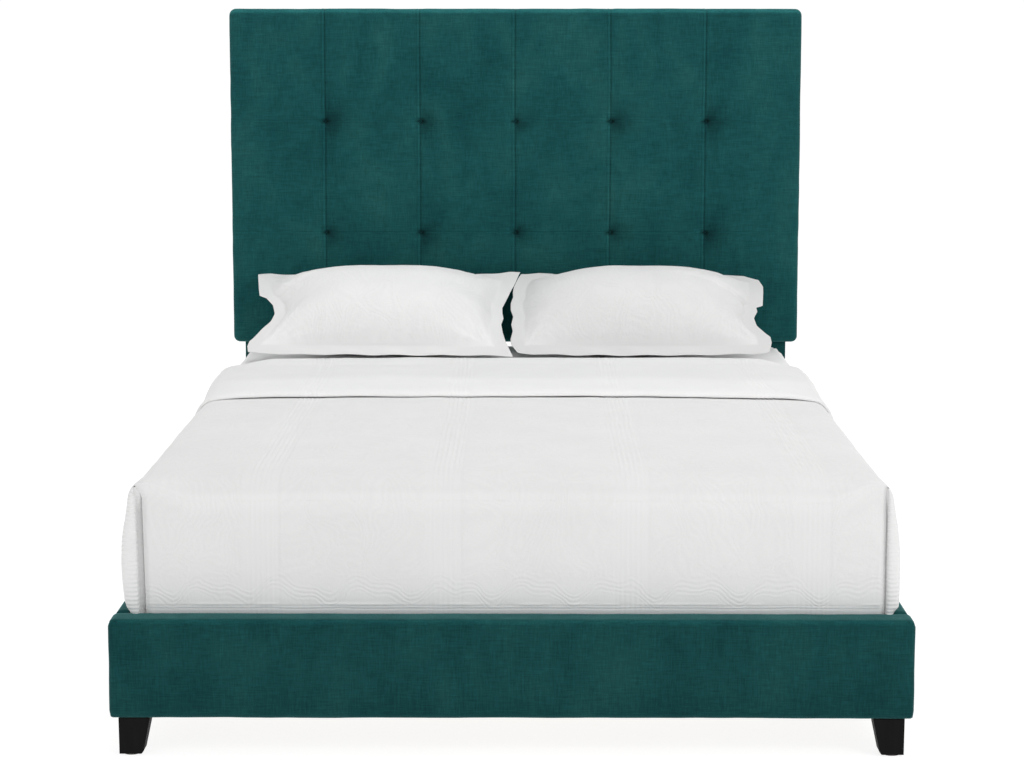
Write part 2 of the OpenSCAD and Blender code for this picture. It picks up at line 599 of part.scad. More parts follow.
// samples bunch towards the rim, where the shape turns fastest
function spread(k, n) = sin(90 * (2 * k / n - 1));
function place(x, s, n, cx, cy, cz, zmin, ymax) = [
    cx + x,
    min(ymax, cy + s * cos(pillow_tilt) - n * sin(pillow_tilt)),
    max(zmin, cz + s * sin(pillow_tilt) + n * cos(pillow_tilt))];
function grid(up, hx, hy, fl, t, t0, cx, cy, cz, zmin, ymax) = [
    for (j = [0:nv], i = [0:nu])
        let (u = spread(i, nu), v = spread(j, nv))
        place(u * hx, v * hy, up * pad(u, v, hx, hy, fl, t, t0), cx, cy, cz, zmin, ymax)];
module lens(hx, hy, fl, tu, td, t0, cx, cy, cz, zmin, ymax) {
    n1 = nu + 1;
    m = n1 * (nv + 1);
    a = grid(1, hx, hy, fl, tu, t0, cx, cy, cz, zmin, ymax);
    b = grid(-1, hx, hy, fl, td, t0, cx, cy, cz, zmin, ymax);
    top = [for (j = [0:nv - 1], i = [0:nu - 1]) each
        let (p = j * n1 + i) [[p, p + n1, p + 1], [p + 1, p + n1, p + n1 + 1]]];
    bot = [for (j = [0:nv - 1], i = [0:nu - 1]) each
        let (p = m + j * n1 + i) [[p, p + 1, p + n1], [p + 1, p + n1 + 1, p + n1]]];
    rim = [for (i = [0:nu - 1]) each [[i, i + 1, m + i], [i + 1, m + i + 1, m + i]]];
    rim2 = [for (i = [0:nu - 1]) each let (p = nv * n1 + i) [[p, m + p, p + 1], [p + 1, m + p, m + p + 1]]];
    rim3 = [for (j = [0:nv - 1]) each let (p = j * n1) [[p, m + p, p + n1], [p + n1, m + p, m + p + n1]]];
    rim4 = [for (j = [0:nv - 1]) each let (p = j * n1 + nu) [[p, p + n1, m + p], [p + n1, m + p + n1, m + p]]];
    polyhedron(points = concat(a, b), faces = concat(top, bot, rim, rim2, rim3, rim4), convexity = 4);
}
// middle, half width, of the left and the right pillow
pil = [[-374, 365], [357, 354]];
pil_y = yh - 216;
pil_z = 677;
// d shrinks the pillow evenly
module pillow_solid(k, d, fl) lens(pil[k][1] - d, pillow_h / 2 - d, max(0, fl), 84 - d, 138 - d, 3 - min(d, 1.8), pil[k][0],
    pil_y, pil_z, bed_top + d, yh - 3 - d);
module sham(k) color(white) difference() {
    pillow_solid(k, 0, flange);
    pillow_solid(k, 2, flange);
}
module pillow_insert(k) color([0.97, 0.97, 0.95]) difference() {
    lens(pil[k][1] - flange - 22, pillow_h / 2 - flange - 15, 0, 64, 96, 1, pil[k][0], pil_y, pil_z, bed_top + 9, yh - 9);
    lens(pil[k][1] - flange - 32, pillow_h / 2 - flange - 23, 0, 57, 89, 0.6, pil[k][0], pil_y, pil_z, bed_top + 15, yh - 15);
}
module pillow_insert_left() pillow_insert(0);
module pillow_insert_right() pillow_insert(1);
module sham_left() sham(0);
module sham_right() sham(1);

headboard_cover();
headboard_foam();
headboard_edge_wadding();
headboard_panel();
headboard_frame();
headboard_back_cloth();
tuft_buttons();
tuft_twines();
tuft_toggles();
headboard_post_left();
headboard_post_right();
post_cover_left();
post_cover_right();
post_screws();
headboard_lower_rail();
rear_glides();
footboard_frame();
footboard_panel_front();
footboard_panel_rear();
footboard_foam();
footboard_cover();
front_leg_left();
front_leg_right();
front_leg_bolts();
front_glides();
side_rail_left();
side_rail_right();
side_rail_foam_left();
side_rail_foam_right();
side_rail_cover_left();
side_rail_cover_right();
slat_ledger_left();
slat_ledger_right();
ledger_screws();
corner_brackets();
corner_bolts();
threaded_inserts();
bracket_screws();
center_beam();
beam_hangers();
center_leg_front();
center_leg_middle();
center_leg_rear();
center_leg_plates();
leveler_front();
leveler_middle();
leveler_rear();
slats();
slat_webbing();
mattress_cover();
mattress_tape_edges();
mattress_top_pad();
mattress_bottom_pad();
mattress_springs();
fitted_sheet();
coverlet();
pillow_insert_left();
pillow_insert_right();
sham_left();
sham_right();
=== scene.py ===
import math

import bpy
import numpy as np
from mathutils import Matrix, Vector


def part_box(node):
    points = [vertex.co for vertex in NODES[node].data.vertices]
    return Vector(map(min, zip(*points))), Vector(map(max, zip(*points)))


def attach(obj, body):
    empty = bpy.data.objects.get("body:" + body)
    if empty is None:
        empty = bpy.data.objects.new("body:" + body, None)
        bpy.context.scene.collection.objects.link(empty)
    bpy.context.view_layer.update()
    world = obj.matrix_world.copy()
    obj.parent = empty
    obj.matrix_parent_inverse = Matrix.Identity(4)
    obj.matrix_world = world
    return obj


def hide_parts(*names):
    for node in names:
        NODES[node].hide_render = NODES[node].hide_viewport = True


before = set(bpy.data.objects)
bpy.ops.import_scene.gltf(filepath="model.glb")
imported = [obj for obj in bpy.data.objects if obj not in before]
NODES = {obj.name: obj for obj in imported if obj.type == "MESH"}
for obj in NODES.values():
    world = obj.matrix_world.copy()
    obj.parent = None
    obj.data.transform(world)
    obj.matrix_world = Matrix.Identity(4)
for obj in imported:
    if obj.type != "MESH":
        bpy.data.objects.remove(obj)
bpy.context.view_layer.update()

col = bpy.context.scene.collection


# ------------------------------------------------------------------ noise and small maths
def hash01(ix, iy, seed):
    n = (ix * 374761393 + iy * 668265263 + seed * 974634777) & 0xFFFFFFFF
    n = ((n ^ (n >> 13)) * 1274126177) & 0xFFFFFFFF
    return ((n ^ (n >> 16)) & 0xFFFF) / 65535.0


def vnoise(x, y, seed=0):
    x, y = np.broadcast_arrays(np.asarray(x, float), np.asarray(y, float))
    ix, iy = np.floor(x).astype(np.int64), np.floor(y).astype(np.int64)
    fx, fy = x - ix, y - iy
    u = fx**3 * (fx * (fx * 6 - 15) + 10)
    v = fy**3 * (fy * (fy * 6 - 15) + 10)
    a, b = hash01(ix, iy, seed), hash01(ix + 1, iy, seed)
    c, d = hash01(ix, iy + 1, seed), hash01(ix + 1, iy + 1, seed)
    return ((a + (b - a) * u) * (1 - v) + (c + (d - c) * u) * v) * 2 - 1


def fbm(x, y, seed=0, octaves=3):
    out, amp, total = 0.0, 1.0, 0.0
    for k in range(octaves):
        out = out + amp * vnoise(np.asarray(x) * 2**k, np.asarray(y) * 2**k, seed + 17 * k)
        total += amp
        amp *= 0.5
    return out / total


def smooth(a, b, x):
    t = np.clip((np.asarray(x, float) - a) / (b - a), 0, 1)
    return t * t * (3 - 2 * t)


def gauss(x, w):
    return np.exp(-((np.asarray(x) / w) ** 2))


def spread(lo, hi, coarse, spots):
    """Sorted coordinates from lo to hi: steps of coarse, and of fine within reach of each spot (place, reach, fine)."""
    step = lambda c: min([coarse] + [f + max(0.0, abs(c - p) - r) * 0.35 for p, r, f in spots])
    dense = np.linspace(lo, hi, 6000)
    rate = np.array([1 / step(c) for c in dense])
    grow = np.concatenate([[0], np.cumsum((rate[1:] + rate[:-1]) / 2 * np.diff(dense))])
    n = int(math.ceil(grow[-1]))
    return np.interp(np.linspace(0, grow[-1], n + 1), grow, dense)


def through(points, per=20):
    """A smooth line through the points, as (arc length, points)."""
    p = np.array(points, float)
    p = np.vstack([2 * p[0] - p[1], p, 2 * p[-1] - p[-2]])
    out = []
    for k in range(1, len(p) - 2):
        t = np.linspace(0, 1, per, endpoint=False)[:, None]
        a, b, c, d = p[k - 1], p[k], p[k + 1], p[k + 2]
        l0, l1, l2 = [max(np.linalg.norm(q - r) ** 0.5, 1e-6) for q, r in ((b, a), (c, b), (d, c))]
        m1 = ((b - a) / l0 - (c - a) / (l0 + l1) + (c - b) / l1) * l1
        m2 = ((c - b) / l1 - (d - b) / (l1 + l2) + (d - c) / l2) * l1
        out.append(
            (2 * t**3 - 3 * t**2 + 1) * b
            + (t**3 - 2 * t**2 + t) * m1
            + (-2 * t**3 + 3 * t**2) * c
            + (t**3 - t**2) * m2
        )
    out.append(p[-2][None])
    q = np.vstack(out)
    s = np.concatenate([[0], np.cumsum(np.linalg.norm(np.diff(q, axis=0), axis=1))])
    return s, q


# ------------------------------------------------------------------ material tools
class Mat:
    def __init__(self, name):
        self.m = bpy.data.materials.new(name)
        self.m.use_nodes = True
        self.t = self.m.node_tree
        self.t.nodes.clear()
        self.out = self.t.nodes.new("ShaderNodeOutputMaterial")
        self.b = self.t.nodes.new("ShaderNodeBsdfPrincipled")
        self.t.links.new(self.b.outputs[0], self.out.inputs[0])
        self.obj = self.t.nodes.new("ShaderNodeTexCoord").outputs["Object"]

    def set(self, **k):
        for n, v in k.items():
            self.b.inputs[n.replace("_", " ")].default_value = v
        return self

    def link(self, a, b):
        self.t.links.new(a, b)

    def node(self, kind, ins=(), **attrs):
        n = self.t.nodes.new(kind)
        for k, v in attrs.items():
            setattr(n, k, v)
        for k, v in dict(ins).items():
            if isinstance(v, bpy.types.NodeSocket):
                self.link(v, n.inputs[k])
            else:
                n.inputs[k].default_value = v
        return n

    def math(self, op, a, b=0.0, c=0.0, clamp=False):
        n = self.t.nodes.new("ShaderNodeMath")
        n.operation, n.use_clamp = op, clamp
        for k, v in enumerate((a, b, c)):
            if isinstance(v, bpy.types.NodeSocket):
                self.link(v, n.inputs[k])
            else:
                n.inputs[k].default_value = v
        return n.outputs[0]

    def scaled(self, vec, scale):
        return self.node("ShaderNodeMapping", {"Vector": vec, "Scale": scale}).outputs[0]

    def noise(self, vec, scale, detail=3.0, rough=0.55, distort=0.0):
        return self.node(
            "ShaderNodeTexNoise",
            {"Vector": vec, "Scale": scale, "Detail": detail, "Roughness": rough, "Distortion": distort},
        ).outputs[0]

    def ramp(self, fac, stops):
        n = self.t.nodes.new("ShaderNodeValToRGB")
        el = n.color_ramp.elements
        while len(el) < len(stops):
            el.new(0.5)
        for e, (p, c) in zip(el, stops):
            e.position = p
            e.color = (*c, 1.0) if hasattr(c, "__len__") else (c, c, c, 1.0)
        self.link(fac, n.inputs[0])
        return n.outputs[0]

    def mix(self, fac, a, b, blend="MIX"):
        n = self.t.nodes.new("ShaderNodeMix")
        n.data_type, n.blend_type = "RGBA", blend
        for k, v in ((0, fac), (6, a), (7, b)):
            if isinstance(v, bpy.types.NodeSocket):
                self.link(v, n.inputs[k])
            else:
                n.inputs[k].default_value = (*v, 1.0) if hasattr(v, "__len__") else v
        return n.outputs[2]

    def attr(self, name):
        return self.node("ShaderNodeAttribute", attribute_name=name, attribute_type="GEOMETRY").outputs["Fac"]

    def bump(self, height, distance, strength=1.0, normal=None):
        ins = {"Height": height, "Distance": distance, "Strength": strength}
        if normal is not None:
            ins["Normal"] = normal
        return self.node("ShaderNodeBump", ins).outputs[0]

    def color(self, socket):
        self.link(socket, self.b.inputs["Base Color"])
        return self

    def normal(self, socket):
        self.link(socket, self.b.inputs["Normal"])
        return self

    def rough(self, socket):
        self.link(socket, self.b.inputs["Roughness"])
        return self


def srgb(r, g, b):
    f = lambda c: c / 12.92 if c <= 0.04045 else ((c + 0.055) / 1.055) ** 2.4
    return tuple(f(c / 255) for c in (r, g, b))


def velvet(name, dark, mid, light, shaded):
    """Short-pile velvet with a linen-like cross weave and a mottled nap."""
    m = Mat(name)
    down = m.noise(m.scaled(m.obj, (400, 400, 34)), 1.0, 3.0, 0.6)
    over = m.noise(m.scaled(m.obj, (30, 30, 400)), 1.0, 3.0, 0.6)
    weave = m.math("ADD", m.math("MULTIPLY", down, 0.5), m.math("MULTIPLY", over, 0.5))
    nap = m.noise(m.scaled(m.obj, (1.3, 1.3, 0.8)), 6.5, 5.0, 0.62, 0.4)
    pile = m.noise(m.obj, 900.0, 2.0, 0.5)
    base = m.ramp(nap, [(0.30, dark), (0.50, mid), (0.72, light)])
    tone = m.ramp(weave, [(0.36, 0.76), (0.50, 0.99), (0.64, 1.26)])
    c = m.mix(1.0, base, tone, "MULTIPLY")
    # painted shade and painted highlights: the colour is multiplied by the per-vertex shade attribute
    if shaded:
        c = m.mix(1.0, c, m.node("ShaderNodeCombineColor", {0: m.attr("shade"), 1: m.attr("shade"), 2: m.attr("shade")}).outputs[0], "MULTIPLY")
    h = m.math("ADD", m.math("MULTIPLY", weave, 0.8), m.math("MULTIPLY", pile, 0.35))
    m.color(c).normal(m.bump(h, 0.0016, 0.55))
    m.set(Roughness=0.85)
    m.b.inputs["Specular IOR Level"].default_value = 0.06
    m.b.inputs["Sheen Weight"].default_value = 0.42
    m.b.inputs["Sheen Roughness"].default_value = 0.38
    m.b.inputs["Sheen Tint"].default_value = (0.27, 0.58, 0.56, 1)
    return m.m


TEAL = velvet("teal_velvet", srgb(17, 66, 68), srgb(23, 74, 75), srgb(31, 82, 81), True)
TEAL_CAD = velvet("teal_velvet_plain", srgb(9, 40, 42), srgb(13, 50, 52), srgb(18, 60, 60), False)


def cotton(name, base, quilted, depth=0.0012):
    """White cotton. quilted: raised foliage and stippling stitched between the ribbed bands."""
    m = Mat(name)
    u, v = m.attr("cu"), m.attr("cv")
    place = m.node("ShaderNodeCombineXYZ", {0: u, 1: v, 2: 0.0}).outputs[0]
    thread = m.math(
        "ADD",
        m.math("MULTIPLY", m.noise(m.scaled(place, (900, 120, 1)), 1.0, 2.0), 0.5),
        m.math("MULTIPLY", m.noise(m.scaled(place, (120, 900, 1)), 1.0, 2.0), 0.5),
    )
    h = m.math("MULTIPLY", thread, 0.10)
    soft = m.noise(place, 5.0, 4.0, 0.6)
    tone = m.ramp(soft, [(0.3, tuple(c * 0.965 for c in base)), (0.7, base)])
    if quilted:
        leafy = m.attr("leaf")
        warp = m.node("ShaderNodeTexNoise", {"Vector": place, "Scale": 7.0, "Detail": 2.0}).outputs["Color"]
        scl = m.node("ShaderNodeVectorMath", operation="SCALE")
        m.link(warp, scl.inputs[0])
        scl.inputs["Scale"].default_value = 0.15
        bent = m.node("ShaderNodeVectorMath", operation="ADD")
        m.link(place, bent.inputs[0])
        m.link(scl.outputs[0], bent.inputs[1])
        cells = m.node(
            "ShaderNodeTexVoronoi", {"Vector": m.scaled(bent.outputs[0], (10, 6.5, 1)), "Scale": 1.0, "Randomness": 1.0}, feature="DISTANCE_TO_EDGE"
        ).outputs["Distance"]
        echo = m.math("MULTIPLY_ADD", m.math("SINE", m.math("MULTIPLY", cells, 60.0)), 0.5, 0.5)
        vein = m.ramp(cells, [(0.0, 0.0), (0.05, 0.8), (0.14, 1.0)])
        stipple = m.noise(place, 150.0, 2.0, 0.6)
        fade = m.ramp(m.noise(place, 6.0, 2.0), [(0.35, 0.25), (0.65, 1.0)])
        relief = m.math(
            "ADD",
            m.math("ADD", m.math("MULTIPLY", vein, 0.30), m.math("MULTIPLY", m.math("MULTIPLY", echo, fade), 0.34)),
            m.math("MULTIPLY", stipple, 0.75),
        )
        h = m.math("ADD", h, m.math("MULTIPLY", relief, leafy))
        # fine crosswise ribs where the cloth is pleated, and the scrolled border above the hem
        h = m.math("ADD", h, m.math("MULTIPLY", m.math("SINE", m.math("MULTIPLY", u, 690.0)), m.math("MULTIPLY", m.attr("rib"), 0.42)))
        level = m.attr("border")
        swag = m.math("ADD", m.math("MULTIPLY", m.math("SINE", m.math("MULTIPLY", u, 37.0)), 0.016), m.math("MULTIPLY", m.math("SINE", m.math("MULTIPLY_ADD", u, 76.0, 1.0)), 0.008))
        stray = m.math("MULTIPLY_ADD", m.noise(place, 16.0, 2.0), 0.030, -0.015)
        off = m.math("SUBTRACT", m.math("SUBTRACT", level, 0.333), m.math("ADD", swag, stray))
        near = m.ramp(m.math("ABSOLUTE", off), [(0.010, 1.0), (0.026, 0.0)])
        lines = m.math("MULTIPLY", m.math("SINE", m.math("MULTIPLY", off, 620.0)), m.math("MULTIPLY", near, 0.20))
        h = m.math("ADD", h, lines)
        # painted shade in the quilting creases
        crease = m.math("MULTIPLY", m.math("MULTIPLY", m.math("SUBTRACT", 1.0, echo), leafy), 0.035)
        tone = m.mix(crease, tone, tuple(c * 0.55 for c in base))
        # darkened towards black by a per-vertex amount: painted shade over a base darkening
        tone = m.mix(m.attr("painted_shade_dim"), tone, (0.0, 0.0, 0.0))
    m.color(tone).normal(m.bump(h, depth, 0.6))
    m.set(Roughness=0.9)
    m.b.inputs["Specular IOR Level"].default_value = 0.12
    m.b.inputs["Sheen Weight"].default_value = 0.10
    m.b.inputs["Sheen Roughness"].default_value = 0.5
    return m.m


QUILT = cotton("quilted_cotton", (0.852, 0.850, 0.848), True, 0.0019)
SHAM = cotton("sham_cotton", (0.864, 0.862, 0.860), True, 0.0030)
SHEET = cotton("white_sheet", (0.82, 0.818, 0.816), False)


def wood(name, a, b, ring=70.0, grain=(3, 3, 60), rough=0.6, spec=0.3, bump=0.0004):
    m = Mat(name)
    streak = m.noise(m.scaled(m.obj, grain), 1.0, 5.0, 0.65, 0.8)
    fine = m.noise(m.scaled(m.obj, tuple(g * 6 for g in grain)), 1.0, 3.0, 0.6)
    mixed = m.math("ADD", m.math("MULTIPLY", streak, 0.7), m.math("MULTIPLY", fine, 0.3))
    m.color(m.ramp(mixed, [(0.32, a), (0.68, b)])).normal(m.bump(mixed, bump, 0.4))
    m.rough(m.math("ADD", m.math("MULTIPLY", fine, 0.2), rough - 0.1))
    m.b.inputs["Specular IOR Level"].default_value = spec
    return m.m


def metal(name, base, rough, brushed=200.0):
    m = Mat(name)
    n = m.noise(m.obj, brushed, 3.0, 0.6)
    m.color(m.ramp(n, [(0.3, tuple(c * 0.86 for c in base)), (0.7, base)]))
    m.rough(m.math("ADD", m.math("MULTIPLY", n, 0.2), rough - 0.1)).normal(m.bump(n, 0.0001, 0.3))
    m.b.inputs["Metallic"].default_value = 1.0
    return m.m


def dull(name, base, scale=400.0, rough=0.9, spec=0.15, contrast=0.2, bump=0.0005):
    m = Mat(name)
    n = m.noise(m.obj, scale, 3.0, 0.6)
    m.color(m.ramp(n, [(0.3, tuple(c * (1 - contrast) for c in base)), (0.7, base)]))
    m.normal(m.bump(n, bump, 0.5)).set(Roughness=rough)
    m.b.inputs["Specular IOR Level"].default_value = spec
    return m.m


MATS = {
    "teal_velvet": TEAL_CAD,
    "plywood": wood("plywood", (0.50, 0.34, 0.19), (0.66, 0.49, 0.31), grain=(2.5, 40, 40)),
    "pine": wood("pine", (0.56, 0.38, 0.20), (0.72, 0.53, 0.32), grain=(5, 5, 45)),
    "zinc_steel": metal("zinc_steel", (0.62, 0.63, 0.64), 0.38),
    "black_steel": metal("black_steel", (0.05, 0.05, 0.055), 0.5),
    "brass": metal("brass", (0.75, 0.55, 0.25), 0.35),
    "black_wood": wood("black_wood", (0.0040, 0.0040, 0.0040), (0.0070, 0.0070, 0.0070), grain=(60, 60, 5), rough=0.6, spec=0.07, bump=0.0002),
    "black_plastic": dull("black_plastic", (0.016, 0.016, 0.017), 600, 0.5, 0.3),
    "webbing": dull("webbing", (0.06, 0.06, 0.065), 500, 0.9),
    "dust_cloth": dull("dust_cloth", (0.028, 0.028, 0.030), 260, 0.95, 0.08, 0.35),
    "felt_pad": dull("felt_pad", (0.20, 0.19, 0.18), 700, 0.98, 0.05, 0.4),
    "twine": dull("twine", (0.55, 0.48, 0.36), 900, 0.9),
    "ticking": dull("ticking", (0.70, 0.70, 0.71), 300, 0.9, 0.1, 0.08),
    "upholstery_foam": dull("upholstery_foam", (0.75, 0.68, 0.45), 500, 0.95),
    "wadding": dull("wadding", (0.80, 0.80, 0.78), 300, 0.98),
    "spring_pockets": dull("spring_pockets", (0.75, 0.75, 0.74), 300, 0.98),
}


# ------------------------------------------------------------------ mesh tools
def make(name, verts, faces, body, mat, attrs=None, replaces=()):
    me = bpy.data.meshes.new(name)
    me.from_pydata([tuple(v) for v in np.asarray(verts, float)], [], [tuple(int(i) for i in f) for f in faces])
    me.validate()
    me.polygons.foreach_set("use_smooth", [True] * len(me.polygons))
    for key, values in (attrs or {}).items():
        a = me.attributes.new(key, "FLOAT", "POINT")
        a.data.foreach_set("value", np.asarray(values, np.float32).ravel())
    me.update()
    ob = bpy.data.objects.new(name, me)
    col.objects.link(ob)
    me.materials.append(mat)
    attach(ob, body)
    if replaces:
        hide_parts(*replaces)
    return ob


def quads(n, m, start=0, flip=False, wrap=False):
    """Faces of a grid whose vertex (i, j) is start + i * m + j."""
    i, j = np.meshgrid(np.arange(n - 1), np.arange(m if wrap else m - 1), indexing="ij")
    k = (j + 1) % m
    a, b, c, d = start + i * m + j, start + (i + 1) * m + j, start + (i + 1) * m + k, start + i * m + k
    f = np.stack([a, d, c, b] if flip else [a, b, c, d], -1).reshape(-1, 4)
    return f


def slab(xs, zs, box, yf, yb, corner, edge, back_edge=0.004, turn=0.022, closed=False, steps=(6, 4), ends=None):
    """An upholstered slab seen along +Y. xs, zs: the grid on the face. box: (x0, x1, z0, z1). corner: radii
    (bottom, top) seen from the front. Returns vertices, normals, faces and the distance in from the outline."""
    x0, x1, z0, z1 = box
    ins = xs[0] - x0
    n, m = len(xs), len(zs)
    gx, gz = np.meshgrid(xs, zs, indexing="ij")
    grid = np.stack([gx, np.full_like(gx, yf), gz], -1).reshape(-1, 3)
    idx = np.arange(n * m).reshape(n, m)
    loop = np.concatenate([idx[:-1, 0], idx[-1, :-1], idx[:0:-1, -1], idx[0, :0:-1]])
    side = np.concatenate([[0] * (n - 1), [1] * (m - 1), [2] * (n - 1), [3] * (m - 1)])
    lx, lz = grid[loop, 0], grid[loop, 2]
    is_corner = np.zeros(len(loop), bool)
    is_corner[[0, n - 1, n - 1 + m - 1, 2 * (n - 1) + m - 1]] = True

    def stretch(c, lo, hi, d, w=0.045):
        low, high = lo + ins, hi - ins
        a = lo + d + (c - low) * (low + w - lo - d) / w
        b = hi - d - (high - c) * (hi - d - high + w) / w
        return np.where(c < low + w, a, np.where(c > high - w, b, c))

    def ring(d):
        dx = d if ends is None else (ends * d / edge if d < edge else ends + (ins - ends) * (d - edge) / (ins - edge))
        x, z = stretch(lx, x0, x1, dx), stretch(lz, z0, z1, d)
        nx = np.select([side == 1, side == 3], [1.0, -1.0], 0.0)
        nz = np.select([side == 0, side == 2], [-1.0, 1.0], 0.0)
        for sx in (-1, 1):
            for sz, rad in ((-1, corner[0]), (1, corner[1])):
                r = max(rad - d, 1e-4)
                ex, ez = (x0 + d if sx < 0 else x1 - d), (z0 + d if sz < 0 else z1 - d)
                tx, tz = abs(x - ex), abs(z - ez)
                near = (tx < r) & (tz < r)
                on_x = tx <= tz
                t = np.where(on_x, tz, tx)
                phi = math.pi / 4 * (1 - np.clip(t / r, 0, 1))
                ax = np.where(on_x, np.cos(phi), np.sin(phi))
                az = np.where(on_x, np.sin(phi), np.cos(phi))
                cx, cz = ex - sx * r, ez - sz * r
                x = np.where(near, cx + sx * r * ax, x)
                z = np.where(near, cz + sz * r * az, z)
                nx = np.where(near, sx * ax, nx)
                nz = np.where(near, sz * az, nz)
        return x, z, nx, nz

    prof = [(d, yf, 0.0) for d in np.linspace(ins, edge, 4)[1:]]
    for a in np.linspace(0, math.pi / 2, steps[0] + 1)[1:]:
        prof.append((edge * (1 - math.sin(a)), yf + edge * (1 - math.cos(a)), math.sin(a)))
    span = (yb - back_edge) - (yf + edge)
    for k in range(1, steps[1] + 1):
        prof.append((0.0, yf + edge + span * k / steps[1], 1.0))
    for a in np.linspace(0, math.pi / 2, 4)[1:]:
        prof.append((back_edge * (1 - math.cos(a)), yb - back_edge + back_edge * math.sin(a), math.cos(a)))
    prof += [(back_edge + (turn - back_edge) * k / 2, yb, 0.0) for k in (1, 2)]
    flipped = [k for k in range(len(prof)) if k > 2 + steps[0] + steps[1]]
    if closed:
        prof.append((ins, yb, 0.0))
        flipped.append(len(prof) - 1)
    V, N, D, X, Z = [grid], [np.tile([0.0, -1.0, 0.0], (n * m, 1))], [np.full(n * m, ins)], [gx.ravel()], [gz.ravel()]
    F = [quads(n, m)]
    before = loop
    start = n * m
    L = len(loop)
    for k, (d, y, out) in enumerate(prof):
        x, z, nx, nz = ring(d)
        V.append(np.stack([x, np.full(L, y), z], -1))
        fy = math.sqrt(max(0, 1 - out * out)) * (1 if k in flipped else -1)
        N.append(np.stack([nx * out, np.full(L, fy), nz * out], -1))
        D.append(np.full(L, d))
        X.append(lx)
        Z.append(lz)
        now = np.arange(start, start + L)
        F.append(np.stack([before, now, np.roll(now, -1), np.roll(before, -1)], -1))
        before, start = now, start + L
    if closed:
        back = grid.copy()
        back[:, 1] = yb
        V.append(back)
        N.append(np.tile([0.0, 1.0, 0.0], (n * m, 1)))
        D.append(np.full(n * m, ins))
        X.append(gx.ravel())
        Z.append(gz.ravel())
        F.append(quads(n, m, start, flip=True))
        now = loop + start
        F.append(np.stack([before, now, np.roll(now, -1), np.roll(before, -1)], -1))
    V, N = np.vstack(V), np.vstack(N)
    return V, N, np.vstack(F), np.concatenate(X), np.concatenate(Z), np.concatenate(D)


def cad(name, slot=None, bevel=0.0, segments=2, mat=None):
    """A CAD node kept in the picture with its material and a small bevel."""
    o = NODES[name]
    o.data.materials.clear()
    o.data.materials.append(mat or MATS[slot])
    if bevel:
        b = o.modifiers.new("edges", "BEVEL")
        b.width, b.segments, b.limit_method, b.angle_limit = bevel, segments, "ANGLE", math.radians(32)
        b.harden_normals = False
    return o


# ------------------------------------------------------------------ headboard
SEAM_X = (-0.546, -0.273, 0.0, 0.273, 0.546)
SEAM_Z = (0.8833, 1.2037)
hx = spread(-0.819 + 0.03, 0.819 - 0.03, 0.0125, [(c, 0.020, 0.0019) for c in SEAM_X] + [(s * 0.800, 0.014, 0.004) for s in (-1, 1)])
hz = spread(0.563 + 0.03, 1.524 - 0.03, 0.0125, [(c, 0.020, 0.0019) for c in SEAM_Z] + [(0.585, 0.014, 0.004), (1.502, 0.014, 0.004)])
V, N, F, X, Z, D = slab(hx, hz, (-0.819, 0.819, 0.563, 1.524), 1.017, 1.0912, (0.018, 0.020), 0.017, turn=0.0295, steps=(7, 5))
P = V.copy()
h = np.zeros(len(V))
shade = np.ones(len(V))
# the stuffing stands a little proud between the seams
cx = np.abs(((X[:, None] - np.array(SEAM_X)) / 0.1365)).min(1).clip(0, 1)
zc = np.array([0.563, *SEAM_Z, 1.524])
cz = (np.abs(Z[:, None] - np.array(SEAM_Z)).min(1) / 0.16).clip(0, 1)
face = smooth(0.0, 0.03, D)
h += face * 0.0030 * (np.sin(cx * math.pi / 2) * 0.7 + np.sin(cz * math.pi / 2) * 0.3)
h += face * 0.0012 * fbm(P[:, 0] * 4.5, P[:, 2] * 4.5, 3, 3)
h += 0.0005 * fbm(P[:, 0] * 16, P[:, 2] * 16 + P[:, 1] * 9, 5, 2)
# seams: a groove with painted shade in it and a painted highlight line beside it
for k, sx in enumerate(SEAM_X):
    w = P[:, 0] - sx - 0.0012 * vnoise(P[:, 2] * 6, k, 9)
    on = smooth(1.078, 1.062, P[:, 1])
    h += on * (-0.0019 * gauss(w, 0.0019) - 0.0008 * gauss(w, 0.008))
    h += on * (0.0008 * gauss(w + 0.0062, 0.0028) - 0.0007 * gauss(w + 0.0105, 0.0016))
    shade *= 1 - on * 0.40 * gauss(w, 0.0019)
    shade *= 1 + on * 0.24 * gauss(w + 0.0042, 0.0020)
    shade *= 1 - on * 0.12 * gauss(w + 0.0100, 0.0018)
# horizontal seams: a shallow groove, a painted highlight line along it and faint painted shade beside it
for k, sz in enumerate(SEAM_Z):
    on = smooth(0.005, 0.02, D)
    w = P[:, 2] - sz - 0.0010 * vnoise(P[:, 0] * 6, k, 19)
    h += on * (-0.0015 * gauss(w, 0.0019) - 0.0008 * gauss(w, 0.010) + 0.0007 * gauss(w - 0.0055, 0.0026))
    shade *= 1 - on * 0.10 * gauss(w + 0.003, 0.0020)
    shade *= 1 + on * 0.20 * gauss(w, 0.0020)
